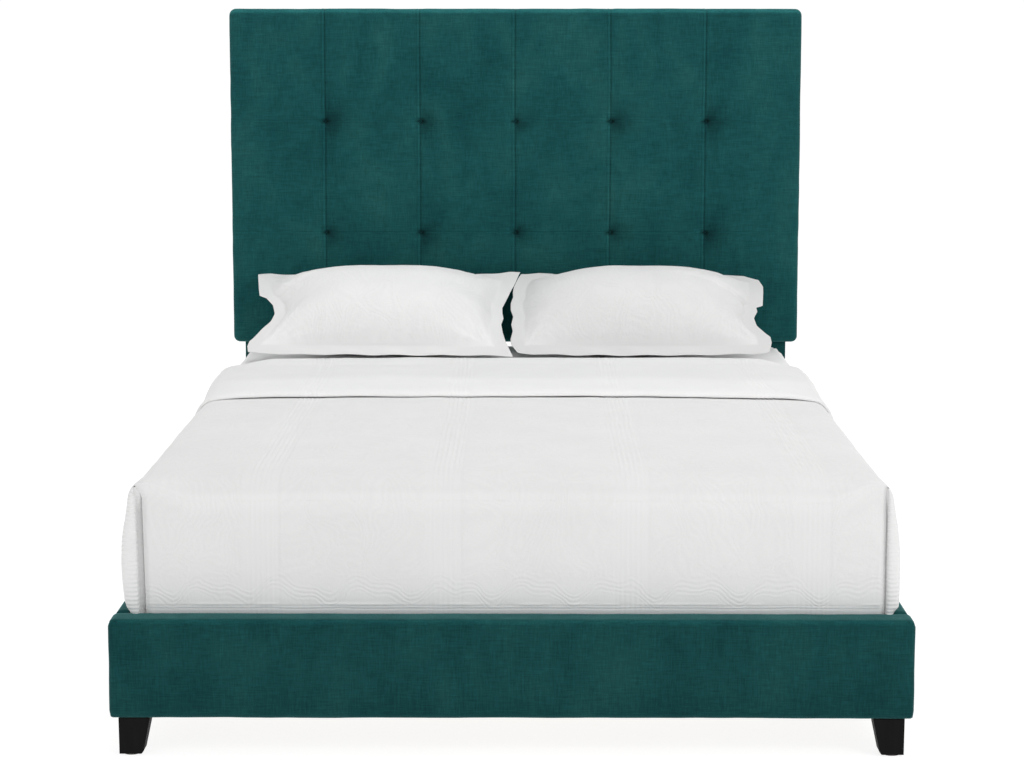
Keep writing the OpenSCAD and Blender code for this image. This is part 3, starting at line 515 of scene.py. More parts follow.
for a, sx in enumerate(SEAM_X):
    for b, sz in enumerate(SEAM_Z):
        dx, dz = P[:, 0] - sx, P[:, 2] - sz
        r = np.hypot(dx, dz)
        th = np.arctan2(dz, dx)
        k = a * 2 + b
        wob = 1 + 0.12 * np.sin(th * 2 + k) + 0.08 * np.sin(th * 3 + 2.1 * k)
        pit = 0.0052 * np.exp(-((r / (0.0072 * wob)) ** 2.6)) + 0.0038 * np.exp(-((r / (0.020 * wob)) ** 1.7))
        folds = 0.0
        for j in range(5):
            ang = 0.5 + j * 2 * math.pi / 5 + 0.5 * math.sin(k * 1.7 + j * 2.3)
            off = (th - ang + math.pi) % (2 * math.pi) - math.pi
            reach = 0.020 + 0.010 * math.sin(k + j * 1.9) ** 2
            folds = folds + gauss(off * r, 0.0026 + 0.04 * r) * np.exp(-((r / reach) ** 2)) * smooth(0.004, 0.011, r)
        on = face * (D > 0.02)
        h += -on * (pit + 0.0017 * folds)
        # painted shade round each tuft: a dark cloud to the lower right, a dark pit core, dark pinch lines and darkened
        # folds, with a painted highlight crescent to the left
        lean = -0.35 + 0.5 * math.sin(k * 2.2)
        right = smooth(-0.003, 0.007, dx) * (0.5 + 0.5 * np.cos(th - lean))
        shade *= 1 - on * 0.62 * right * np.exp(-((r / (0.039 + 0.008 * math.sin(k))) ** 1.7))
        shade *= 1 - on * 0.95 * np.exp(-((np.hypot(dx - 0.0012, dz * 1.15) / 0.0074) ** 2.4))
        shade *= 1 - on * 0.45 * gauss(dz + 0.0006, 0.0017) * smooth(-0.019, -0.006, dx) * smooth(0.004, -0.002, dx)
        shade *= 1 - on * 0.40 * gauss(dz - 0.10 * dx, 0.0024) * smooth(0.020, 0.006, dx) * smooth(-0.002, 0.004, dx)
        shade *= 1 + on * 0.10 * gauss(r - 0.020, 0.010) * smooth(0.0, -0.01, dx)
        shade *= 1 - on * 0.12 * folds
# painted shade: a darker piping-thin line where the cover turns over the edge, and small pulls along the bottom edge
shade *= 1 - 0.35 * gauss(D, 0.0012) * (N[:, 1] > -0.45) * (P[:, 1] < 1.04)
h += 0.0009 * gauss(D - 0.004, 0.010) * fbm((P[:, 0] + P[:, 2]) * 22, P[:, 1] * 8, 11, 2)
# painted highlight: upward-facing surfaces along the top edge are lightened
shade *= 1 + 0.85 * smooth(0.12, 0.6, N[:, 2]) * (P[:, 1] < 1.06)
h = np.where(P[:, 1] > 1.088, np.clip(h, 0.0, 0.0004), h)
V = V + N * h[:, None]
shade = np.clip(shade, 0.03, 1.6)
headboard = make("headboard_upholstery", V, F, "frame", TEAL, {"shade": shade}, ["headboard_cover", "headboard_foam", "headboard_edge_wadding", "tuft_twines"])

# ------------------------------------------------------------------ footboard and side rails
fx = spread(-0.819 + 0.026, 0.819 - 0.026, 0.014, [(s * 0.796, 0.016, 0.004) for s in (-1, 1)])
fz = spread(0.079 + 0.026, 0.285 - 0.026, 0.010, [])
V, N, F, X, Z, D = slab(fx, fz, (-0.819, 0.819, 0.079, 0.285), -1.093, -1.0332, (0.008, 0.014), 0.013, turn=0.022, closed=True, steps=(6, 4))
P = V.copy()
face = smooth(0.0, 0.026, D) * (P[:, 1] < -1.06)
h = face * 0.0016 * (1 - ((P[:, 2] - 0.182) / 0.103) ** 2).clip(0, 1)
h += 0.0009 * fbm(P[:, 0] * 5, P[:, 2] * 7 + P[:, 1] * 5, 23, 3)
h += 0.0006 * gauss(D - 0.004, 0.012) * fbm((P[:, 0] + P[:, 2]) * 24, P[:, 1] * 9, 31, 2)
shade = np.ones(len(V))
# shallow grooves near the ends of the top, with painted shade in them
for sgn in (-1, 1):
    w = P[:, 0] - sgn * 0.8155
    on = (P[:, 1] > -1.080) * (P[:, 1] < -1.034)
    h += -0.0012 * gauss(P[:, 0] - sgn * 0.803, 0.0018) * (P[:, 2] > 0.28)
    shade *= 1 - 0.4 * gauss(P[:, 0] - sgn * 0.803, 0.0022) * (P[:, 2] > 0.28)
h = np.where(P[:, 1] > -1.036, np.minimum(h, 0), h)
# painted shade: the front face darkened and the upward-facing top lightened as a painted highlight; the lowest strip is
# also darker towards the bottom
shade *= 0.74 + 0.36 * smooth(0.15, 0.75, N[:, 2])
shade *= 1 - 0.10 * smooth(0.16, 0.09, P[:, 2])
V = V + N * h[:, None]
footboard = make(
    "footboard_upholstery", V, F, "frame", TEAL, {"shade": shade}, ["footboard_cover", "footboard_foam"]
)

for side_name, sgn in (("left", -1), ("right", 1)):
    rx = spread(-1.0327 + 0.02, 1.0527 - 0.02, 0.020, [])
    rz = spread(0.079 + 0.02, 0.285 - 0.02, 0.012, [])
    V, N, F, X, Z, D = slab(rx, rz, (-1.0327, 1.0527, 0.079, 0.285), -0.8142, -0.7805, (0.0003, 0.0003), 0.011, back_edge=0.006, turn=0.019, closed=True, steps=(5, 3), ends=0.0008)
    P = V.copy()
    face = smooth(0.0, 0.02, D) * (P[:, 1] < -0.80)
    h = face * 0.0012 * (1 - ((P[:, 2] - 0.182) / 0.103) ** 2).clip(0, 1)
    h += face * 0.0009 * fbm(P[:, 0] * 5, P[:, 2] * 7, 41 + sgn, 3)
    V = V + N * h[:, None]
    # painted shade: the outer face darker than the upward-facing top
    shade = 0.74 + 0.2 * smooth(0.15, 0.75, N[:, 2])
    # local -Y turned to the outside of the bed
    W = np.stack([-V[:, 1], V[:, 0], V[:, 2]], -1) if sgn > 0 else np.stack([V[:, 1], V[:, 0], V[:, 2]], -1)
    if sgn < 0:
        F = F[:, ::-1]
    rail = make(f"side_rail_upholstery_{side_name}", W, F, "frame", TEAL, {"shade": shade}, [f"side_rail_cover_{side_name}", f"side_rail_foam_{side_name}"])

# ------------------------------------------------------------------ wrapped posts
for side_name in ("left", "right"):
    lo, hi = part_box(f"post_cover_{side_name}")
    r = 0.005
    ring = []
    for cxr, cyr, a0 in ((hi.x - r, lo.y + r, -90), (hi.x - r, hi.y - r, 0), (lo.x + r, hi.y - r, 90), (lo.x + r, lo.y + r, 180)):
        for a in np.radians(a0 + np.linspace(0, 90, 5)):
            ring.append((cxr + r * math.cos(a), cyr + r * math.sin(a), math.cos(a), math.sin(a)))
    ring = np.array(ring)
    full = []
    for k in range(len(ring)):
        a, b = ring[k], ring[(k + 1) % len(ring)]
        gap = math.hypot(b[0] - a[0], b[1] - a[1])
        cuts = max(1, int(gap / 0.009))
        for c in range(cuts):
            full.append(a + (b - a) * c / cuts)
    full = np.array(full)
    rows = [(lo.z, 0.010), (lo.z, 0.004), (lo.z + 0.0012, 0.0012)] + [(z, 0.0) for z in np.linspace(lo.z + 0.004, hi.z, 60)]
    V, shade = [], []
    for z, cut in rows:
        w = 0.0007 * fbm(full[:, 0] * 20 + full[:, 1] * 30, np.full(len(full), z * 12), 51, 2)
        w = np.minimum(w, 0.0006)
        # a dent down the back seam, with painted shade in it
        back = gauss(full[:, 0] - (lo.x + hi.x) / 2, 0.0022) * (full[:, 1] > hi.y - 0.002)
        w = w - 0.0012 * back
        V.append(np.stack([full[:, 0] + full[:, 2] * (w - cut), full[:, 1] + full[:, 3] * (w - cut), np.full(len(full), z)], -1))
        shade.append(1 - 0.4 * back)
    V = np.vstack(V)
    # the whole wrap is darkened to 0.8 as painted shade under the headboard
    wrap = make(f"post_wrap_{side_name}", V, quads(len(rows), len(full), flip=True, wrap=True), "frame", TEAL, {"shade": np.concatenate(shade) * 0.8}, [f"post_cover_{side_name}"])

# ------------------------------------------------------------------ dust cloth on the back
lo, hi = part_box("headboard_back_cloth")
bx = spread(lo.x + 0.0005, hi.x - 0.0005, 0.012, [(lo.x, 0.01, 0.004), (hi.x, 0.01, 0.004)])
bz = spread(lo.z + 0.0005, hi.z - 0.0005, 0.012, [(lo.z, 0.01, 0.004), (hi.z, 0.01, 0.004)])
gx, gz = np.meshgrid(bx, bz, indexing="ij")
edge_d = np.minimum(np.minimum(gx - lo.x, hi.x - gx), np.minimum(gz - lo.z, hi.z - gz))
wave = 0.0005 * fbm(gx * 6, gz * 5, 61, 3) - 0.0004 * smooth(0.02, 0.10, edge_d)
staple = np.abs(((gx + gz) / 0.06) % 1 - 0.5)
wave += 0.0004 * (staple - 0.25) * gauss(edge_d - 0.010, 0.012)
outer = np.stack([gx, hi.y - 0.0003 + wave - 0.0008 * gauss(edge_d, 0.004), gz], -1).reshape(-1, 3)
inner = outer - [0, 0.0006, 0]
n, m = len(bx), len(bz)
idx = np.arange(n * m).reshape(n, m)
loop = np.concatenate([idx[:-1, 0], idx[-1, :-1], idx[:0:-1, -1], idx[0, :0:-1]])
F = np.vstack([quads(n, m, 0, True), quads(n, m, n * m), np.stack([loop + n * m, loop, np.roll(loop, -1), np.roll(loop, -1) + n * m], -1)])
back = make("headboard_dust_cloth", np.vstack([outer, inner]), F, "frame", MATS["dust_cloth"], None, ["headboard_back_cloth"])

# ------------------------------------------------------------------ slat webbing
lo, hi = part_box("slat_webbing")
for side_name, sgn in (("left", -1), ("right", 1)):
    ys = np.arange(lo.y, hi.y + 1e-6, 0.006)
    us = np.linspace(-0.019, 0.019, 7)
    gu, gy = np.meshgrid(us, ys, indexing="ij")
    phase = (gy - lo.y) / 0.1618
    sag = -0.0010 * np.abs(np.sin(phase * math.pi)) ** 1.5
    top = np.stack([sgn * 0.380 + gu, gy, hi.z - 0.0002 + sag + 0.0001 * np.sin(gy * 900)], -1).reshape(-1, 3)
    low = top - [0, 0, 0.0012]
    n, m = len(us), len(ys)
    idx = np.arange(n * m).reshape(n, m)
    loop = np.concatenate([idx[:-1, 0], idx[-1, :-1], idx[:0:-1, -1], idx[0, :0:-1]])
    F = np.vstack([quads(n, m, 0), quads(n, m, n * m, True), np.stack([loop, loop + n * m, np.roll(loop, -1) + n * m, np.roll(loop, -1)], -1)])
    strap = make(f"slat_strap_{side_name}", np.vstack([top, low]), F, "frame", MATS["webbing"], None, ["slat_webbing"])

# ------------------------------------------------------------------ mattress and fitted sheet
def lying(V, N):
    """Turns a slab seen along +Y so that its face looks up."""
    t = lambda a: np.stack([a[:, 0], a[:, 2], -a[:, 1]], -1)
    return t(V), t(N)


mx = spread(-0.758 + 0.06, 0.758 - 0.06, 0.03, [])
my = spread(-1.017 + 0.06, 1.0015 - 0.06, 0.03, [])
V, N, F, X, Z, D = slab(mx, my, (-0.7615, 0.7615, -1.0205, 1.0050), -0.5545, -0.2525, (0.054, 0.054), 0.024, back_edge=0.022, turn=0.05, closed=True, steps=(6, 14))
tape = gauss(-V[:, 1] - 0.535, 0.005) + gauss(-V[:, 1] - 0.272, 0.005)
h = 0.0006 * np.where(D < 0.03, tape, 0) - 0.003 * smooth(0.0, 0.04, D) * 0.0
h -= 0.0035 * (D < 0.002) * (1 - tape).clip(0, 1) * (np.abs(-V[:, 1] - 0.40) < 0.12)
V = V + N * h[:, None]
V, N = lying(V, N)
mattress = make(
    "mattress_pocket_sprung", V, F, "mattress", MATS["ticking"], None,
    ["mattress_cover", "mattress_tape_edges", "mattress_top_pad", "mattress_bottom_pad", "mattress_springs"],
)

sx = spread(-0.7637 + 0.06, 0.7637 - 0.06, 0.012, [])
sy = spread(-1.0227 + 0.06, 1.0080 - 0.06, 0.030, [(0.75, 0.30, 0.012)])
V, N, F, X, Z, D = slab(sx, sy, (-0.7637, 0.7637, -1.0227, 1.0080), -0.5567, -0.2505, (0.055, 0.055), 0.026, back_edge=0.005, turn=0.045, steps=(7, 16))
P = V.copy()
h = 0.0022 * fbm(P[:, 0] * 7, P[:, 2] * 9, 71, 3) * smooth(0.0, 0.05, D)
# soft vertical pulls down the sides, gathered at the corners
walk = P[:, 0] + P[:, 2]
h += np.where(D < 0.02, 0.0011 * fbm(walk * 9, P[:, 1] * 2.5, 73, 2), 0)
corner_near = np.exp(-(np.hypot(np.abs(P[:, 0]) - 0.7637, np.minimum(abs(P[:, 2] - 1.0080), abs(P[:, 2] + 1.0227))) / 0.16) ** 2)
h += np.where(D < 0.02, 0.0022 * corner_near * np.sin(walk * 190), 0)
h = np.clip(h, -0.0015, np.where(P[:, 2] > 1.0, 0.0018, 0.003))
foot_end = smooth(-0.80, -0.90, P[:, 2]) * (np.abs(P[:, 1] + 0.40) > 0.10)
h = h * (1 - foot_end) - 0.0018 * foot_end
V = V + N * h[:, None]
V, N = lying(V, N)
sheet_obj = make("fitted_sheet_cloth", V, F, "mattress", SHEET, {"cu": P[:, 0], "cv": P[:, 2]}, ["fitted_sheet"])

# ------------------------------------------------------------------ coverlet
TOP = [(0, 0.575), (0.30, 0.5742), (0.60, 0.5712)]
OUT = {
    -1: TOP + [(0.722, 0.5668), (0.748, 0.5612), (0.764, 0.5485), (0.777, 0.522), (0.7870, 0.4816), (0.7935, 0.440), (0.7955, 0.400), (0.7945, 0.360), (0.7918, 0.320), (0.7890, 0.299), (0.7810, 0.2893), (0.7793, 0.281), (0.7786, 0.258)],
    1: TOP + [(0.722, 0.5668), (0.746, 0.5612), (0.761, 0.5485), (0.774, 0.522), (0.7845, 0.4816), (0.7905, 0.440), (0.7935, 0.400), (0.7937, 0.360), (0.7930, 0.320), (0.7915, 0.299), (0.7830, 0.2893), (0.7793, 0.281), (0.7786, 0.258)],
}
OVER_TOP = [(0, 0.5835), (0.30, 0.5828), (0.60, 0.5798)]
CUFF = {
    -1: OVER_TOP + [(0.730, 0.5758), (0.762, 0.5705), (0.783, 0.5570), (0.795, 0.527), (0.8020, 0.478), (0.8050, 0.420), (0.8055, 0.360), (0.8040, 0.305)],
    1: OVER_TOP + [(0.728, 0.5758), (0.757, 0.5705), (0.774, 0.5570), (0.7855, 0.527), (0.7935, 0.478), (0.7975, 0.420), (0.7985, 0.360), (0.7975, 0.305)],
}
GROUPS = (-0.875, -0.505, -0.135, 0.245, 0.615, 0.985)


class Section:
    """The cloth's cross-section: place and outward direction at arc length s from the middle, left negative."""

    def __init__(self, sides):
        self.h = {k: through(v, 24) for k, v in sides.items()}
        self.reach = {k: v[0][-1] for k, v in self.h.items()}

    def at(self, s):
        s = np.asarray(s, float)
        x, z = np.zeros_like(s), np.zeros_like(s)
        nx, nz = np.zeros_like(s), np.zeros_like(s)
        for sg in (-1, 1):
            on = s < 0 if sg < 0 else s >= 0
            S, Q = self.h[sg]
            a = np.clip(abs(s), 0, S[-1])
            X_, Z_ = np.interp(a, S, Q[:, 0]), np.interp(a, S, Q[:, 1])
            e = 0.002
            X1, Z1 = np.interp(np.clip(a + e, 0, S[-1]), S, Q[:, 0]), np.interp(np.clip(a + e, 0, S[-1]), S, Q[:, 1])
            X0, Z0 = np.interp(np.clip(a - e, 0, S[-1]), S, Q[:, 0]), np.interp(np.clip(a - e, 0, S[-1]), S, Q[:, 1])
            tx, tz = X1 - X0, Z1 - Z0
            L = np.maximum(np.hypot(tx, tz), 1e-9)
            x = np.where(on, sg * X_, x)
            z = np.where(on, Z_, z)
            nx = np.where(on, sg * (-tz / L), nx)
            nz = np.where(on, tx / L, nz)
        return x, z, nx, nz


MAIN, OVER = Section(OUT), Section(CUFF)
SH = 0.761  # arc length at the shoulder, where the foot's drop ends and the side's begins
SL, SR = MAIN.reach[-1], MAIN.reach[1]
cs = spread(-SL, SR, 0.0135, [(g, 0.033, 0.0023) for g in GROUPS] + [(s * SH, 0.020, 0.004) for s in (-1, 1)])
for s in (-SH, SH):
    cs[np.argmin(abs(cs - s))] = s


def over_s(s):
    """The cuff's arc length for the same column: its drop is shorter."""
    out = s.copy()
    for sg, R in ((-1, SL), (1, SR)):
        beyond = (s * sg) > SH
        out[beyond] = sg * (SH + 0.004 + (abs(s[beyond]) - SH) * (OVER.reach[sg] - SH - 0.004) / (R - SH))
    return out


def ribs(s, t):
    """Height of the ribbed bands that run the length of the cloth, and how much of the foliage shows."""
    hgt, leaf = np.zeros_like(s + t), np.ones_like(s + t)
    for k, g in enumerate(GROUPS):
        shift = 0.0035 * (smooth(-0.415, -0.405, t) - 0.5) + 0.003 * np.sin(t * 1.9 + k)
        w = s - g - shift
        inside = smooth(0.034, 0.030, abs(w))
        hgt = hgt + inside * (0.00075 if abs(g) < 0.8 else 0.0005) * (1 - 0.5 * smooth(-0.90, -1.0, t)) * (np.cos(2 * math.pi * w / 0.0104) - 0.35)
        hgt = hgt - 0.0006 * gauss(abs(w) - 0.0335, 0.003)
        leaf = leaf * (1 - smooth(0.040, 0.032, abs(w)))
    return hgt, leaf


# rows of the main layer, foot to head: (y, share of the cuff's section, lift)
ys = np.concatenate([
    -0.912 - 0.120 * np.sin(np.linspace(0, math.pi / 2, 22))[::-1],
    np.arange(-0.905, 0.455, 0.0135),
])
ys = np.unique(np.round(ys, 6))
rows = [(y, 0.0, 0.0) for y in ys]
rows += [(0.460, 0.0, 0.0005), (0.4660, 0.08, 0.0), (0.4702, 0.24, 0.0), (0.4720, 0.44, 0.0), (0.4722, 0.62, 0.0), (0.4708, 0.80, 0.0), (0.4665, 0.94, 0.0005), (0.460, 1.0, 0.001)]
for y in np.arange(0.448, -0.045, -0.0115):
    rows.append((y, 1.0, 0.001))
rows += [(-0.048, 1.0, 0.001), (-0.056, 1.0, 0.0008), (-0.062, 1.0, -0.0003), (-0.0655, 1.0, -0.0028), (-0.0650, 1.0, -0.0056), (-0.0600, 1.0, -0.0072), (-0.050, 1.0, -0.0074)]
rows = np.array(rows)
n, m = len(cs), len(rows)
S, T = np.meshgrid(cs, rows[:, 0], indexing="ij")
LAM = np.broadcast_to(rows[:, 1], (n, m))
LIFT = np.broadcast_to(rows[:, 2], (n, m))
x0, z0, nx0, nz0 = MAIN.at(cs)
x1, z1, nx1, nz1 = OVER.at(over_s(cs))
x2, z2, nx2, nz2 = MAIN.at(over_s(cs))
close = smooth(0.30, 0.02, T)
near_edge = lambda a, b, lift: b[:, None] * (1 - close) + (a[:, None] + lift) * close
mixw = lambda a, b: a[:, None] * (1 - LAM) + b * LAM
snug = (0.0086 - 0.0022 * smooth(SH - 0.10, SH - 0.02, abs(cs)))[:, None]
over_x, over_z = near_edge(x2, x1, snug * nx2[:, None]), near_edge(z2, z1, snug * nz2[:, None])
XX, ZZ = mixw(x0, over_x), mixw(z0, over_z)
NX, NZ = mixw(nx0, near_edge(nx2, nx1, 0)), mixw(nz0, near_edge(nz2, nz1, 0))
length_at = np.concatenate([[0], np.cumsum(np.hypot(np.diff(rows[:, 0]), 0.008 * np.diff(rows[:, 1])))])
TT = np.broadcast_to(rows[0, 0] + length_at, (n, m))
H, LEAF = ribs(S, np.where(LAM > 0.5, T, T))
H = H * np.where(LAM > 0.5, 0.75, 1.0)
# sag and life of the cloth
top = smooth(SH + 0.01, SH - 0.10, abs(S))
drape = 1 - smooth(SH + 0.02, SH - 0.01, abs(S))
H = H + top * 0.0024 * fbm(S * 3.2, T * 2.6, 81, 3) + top * 0.0010 * fbm(S * 11, T * 9, 83, 2)
H = H + drape * (0.0030 * fbm(T * 5.0, S * 1.6, 85, 3) + 0.0012 * fbm(T * 16, S * 4, 87, 2)) * smooth(0, 0.10, SR - 0.02 - abs(S))
# crosswise stitched seams
for y in (-0.41, -0.861):
    H = H - (LAM < 0.5) * 0.0012 * gauss(T - y, 0.006) * top
# the shoulder line is a little uneven
ZZ = ZZ + 0.0022 * fbm(T * 4, S * 2, 89, 2) * gauss(abs(S) - SH, 0.05)
# cuff: fullest near its free edge, thin creases near the fold
cuffy = smooth(0.5, 1.0, LAM)
H = H + cuffy * top * 0.0050 * smooth(0.20, -0.02, T) * smooth(-0.067, -0.045, T)
roll = (0.0150 + 0.0012 * fbm(S * 2.2, 0 * S, 94, 2)) * smooth(SH - 0.01, SH - 0.13, abs(S))
H = H + roll * LAM * (0.35 * smooth(0.20, 0.40, T) + 0.65 * smooth(0.385, 0.452, T))
H = H + cuffy * 0.0016 * fbm(S * 3.0, T * 26, 91, 2) * smooth(0.16, 0.24, T)
H = H + cuffy * 0.0012 * fbm(S * 7, T * 9, 93, 2)
LEAF = LEAF * np.where(LAM > 0.5, 0.55 * smooth(0.24, 0.16, T) + 0.12, 1.0)
wav = 0.0045 * fbm(S * 2.4, np.zeros_like(S), 95, 2) * cuffy * smooth(0.2, -0.03, T)
# the foot's soft edge
drop = 0.053 * smooth(SH + 0.006, SH - 0.12, abs(S)) + 0.004 * gauss(abs(S) - SH, 0.03)
k = np.clip((-0.912 - T) / 0.120, 0, 1)
fall = drop * (1 - np.clip(1 - k**2.5, 0, 1) ** 0.4) * (LAM < 0.5)
flare = np.sign(S) * np.where(S < 0, 0.0085, 0.0075) * smooth(-0.93, -1.032, T) * gauss(ZZ - 0.545, 0.030) * smooth(SH - 0.12, SH, abs(S))
PX = XX + NX * (H + LIFT) + flare
PY = T + wav
PZ = ZZ + NZ * (H + LIFT) - fall
V = [np.stack([PX, PY, PZ], -1).reshape(-1, 3)]
# painted shade over the coverlet: a base darkening everywhere, more over the foot's rounded edge, and none on the cuff
# near its free edge as a painted highlight
turned = (LAM < 0.5) * top * smooth(-0.925, -0.985, T)
A = {"cu": [S.ravel()], "cv": [TT.ravel()], "leaf": [LEAF.ravel()], "rib": [(drape * smooth(-0.90, -1.0, T)).ravel()], "border": [np.zeros(n * m)], "painted_shade_dim": [(0.0727 + 0.018 * turned - 0.0727 * cuffy * smooth(0.26, 0.14, T) * smooth(SH + 0.06, SH - 0.10, abs(S))).ravel()]}
F = [quads(n, m)]
count = n * m
grid_id = np.arange(n * m).reshape(n, m)

# the foot's drop, from the soft edge down into the gap behind the footboard
mid = np.where(abs(cs) <= SH + 1e-9)[0]
edge_pts = V[0][grid_id[mid, 0]]
hem_z = 0.2585
depth = spread(0.004, 0.262, 0.0095, [(0.004, 0.01, 0.006), (0.221, 0.010, 0.0015)])
downs = []
s_mid = cs[mid]
for d in depth:
    q = edge_pts.copy()
    full = np.clip((d / 0.262), 0, 1)
    q[:, 2] = edge_pts[:, 2] + (hem_z - edge_pts[:, 2]) * full
    zz = q[:, 2]
    side_in = np.where(s_mid < 0, 0.0125 * smooth(0.0, 0.022, d) + 0.0055 * full, 0.001) * smooth(0.55, 0.757, abs(s_mid))
    q[:, 0] = edge_pts[:, 0] * (1 - side_in / 0.768)
    hgt, leaf = ribs(s_mid, np.full_like(s_mid, -1.03))
    leaf = leaf * smooth(0.262, 0.275, zz)
    puff = 0.0035 * np.sin(math.pi * full) + 0.0016 * fbm(s_mid * 5, zz * 6, 97, 3) * smooth(0.0, 0.05, d)
    hgt = hgt * 0.7
    for line, deep in ((0.3005, 0.0007), (0.2945, 0.0010)):
        hgt = hgt - deep * gauss(zz - line - 0.0012 * fbm(s_mid * 14, np.zeros_like(s_mid), 98, 2), 0.0016)
    hgt = hgt + 0.0012 * gauss(zz - 0.3035, 0.0030) * (0.6 + 0.8 * vnoise(s_mid * 30, 0 * s_mid, 96))
    edge_in = smooth(0.0, 0.012, SH - abs(s_mid))
    q[:, 1] = -1.0320 - (puff + hgt) * edge_in + 0.004 * (1 - edge_in) + np.where(zz < 0.30, 0.0035 * smooth(0.30, 0.27, zz), 0)
    downs.append(q)
    A["cu"].append(s_mid)
    A["cv"].append(np.full(len(s_mid), rows[0, 0] - d))
    A["leaf"].append(leaf * (1 - 0.6 * smooth(0.37, 0.35, zz)))
    A["rib"].append(np.zeros(len(s_mid)))
    A["border"].append(zz)
    # painted shade on the foot's drop: darker than the top and darker to the left, lightened towards the hem against
    # its shadow
    A["painted_shade_dim"].append(0.091 + (0.036 - 0.014 * s_mid) * smooth(0.0, 0.040, d) - 0.050 * smooth(0.36, 0.28, zz))
V.append(np.concatenate(downs))
before = grid_id[mid, 0]
for r in range(len(depth)):
    now = count + np.arange(len(mid)) + r * len(mid)
    F.append(np.stack([now[:-1], now[1:], before[1:], before[:-1]], -1))
    before = now
count += len(depth) * len(mid)

# at the foot corners the cloth makes a pleat: round the corner, back into it, and out to the front drop
for sg in (-1, 1):
    cols = np.where(cs < -SH - 1e-9)[0][::-1] if sg < 0 else np.where(cs > SH + 1e-9)[0]
    start_pts = V[0][grid_id[cols, 0]].copy()
    rim = np.array([q[0 if sg < 0 else -1] for q in downs][::-1])
    panel_x = np.interp(start_pts[:, 2], rim[:, 2], rim[:, 0])
    panel_y = np.interp(start_pts[:, 2], rim[:, 2], rim[:, 1])
    dist = abs(cs[cols]) - SH
    wide = np.maximum((start_pts[:, 0] - panel_x) * sg, 0.0015)
    gap = np.minimum(0.0130 if sg < 0 else 0.0030, wide * (0.62 if sg < 0 else 0.42))
    fold = wide - gap
    deep = 0.022 * smooth(0.008, 0.07, dist) * (1.0 if sg < 0 else 0.6)
    path = [(0.05, 0.0, -0.0030), (0.16, 0.0, -0.0062), (0.34, 0.0, -0.0084), (0.55, 0.0, -0.0092), (0.76, 0.0, -0.0090), (0.92, 0.0, -0.0074), (0.99, 0.0, -0.0045), (1.0, 0.0, 0.0), (0.995, 0.0, 0.30), (0.99, 0.06, 0.46), (1.0, 0.45, 0.50), (1.0, 0.86, 0.55), (1.0, 0.95, 1.0), (1.0, 1.0, 0.0)]
    before = grid_id[cols, 0]
    for r, (a_fold, a_gap, fwd) in enumerate(path):
        q = start_pts.copy()
        q[:, 0] -= sg * (fold * a_fold + gap * a_gap)
        g = smooth(0.0, 0.03, dist)
        if r < 8:
            q[:, 1] += fwd * (0.35 + 0.65 * g)
        elif r < 13:
            q[:, 1] = start_pts[:, 1] + deep * fwd + (0.0015 if r > 10 else 0.0)
        else:
            q[:, 1] = panel_y
            q[:, 0] = panel_x
        q[:, 1] += 0.0008 * fbm(q[:, 2] * 18, np.full(len(q), r * 0.3), 99, 2) * g * (r < 13)
        V.append(q)
        A["cu"].append(cs[cols])
        A["cv"].append(np.full(len(cols), rows[0, 0] - 0.004 * (r + 1)))
        A["leaf"].append(np.full(len(cols), 0.35) * smooth(0.0, 0.03, dist))
        A["rib"].append(smooth(0.0, 0.03, dist) * (1.0 if r < 8 else 0.3))
        A["border"].append(np.zeros(len(cols)))
        # painted shade on the rows inside the pleat
        A["painted_shade_dim"].append(np.full(len(cols), 0.16 if 8 < r < 13 else 0.0727))
        now = count + np.arange(len(cols))
        f = np.stack([now[:-1], now[1:], before[1:], before[:-1]], -1)
        F.append(f if sg > 0 else f[:, ::-1])
        before = now
        count += len(cols)
V = np.vstack(V)
A = {k2: np.concatenate(v2) for k2, v2 in A.items()}
coverlet = make("coverlet_quilted", V, np.vstack(F), "mattress", QUILT, A, ["coverlet"])


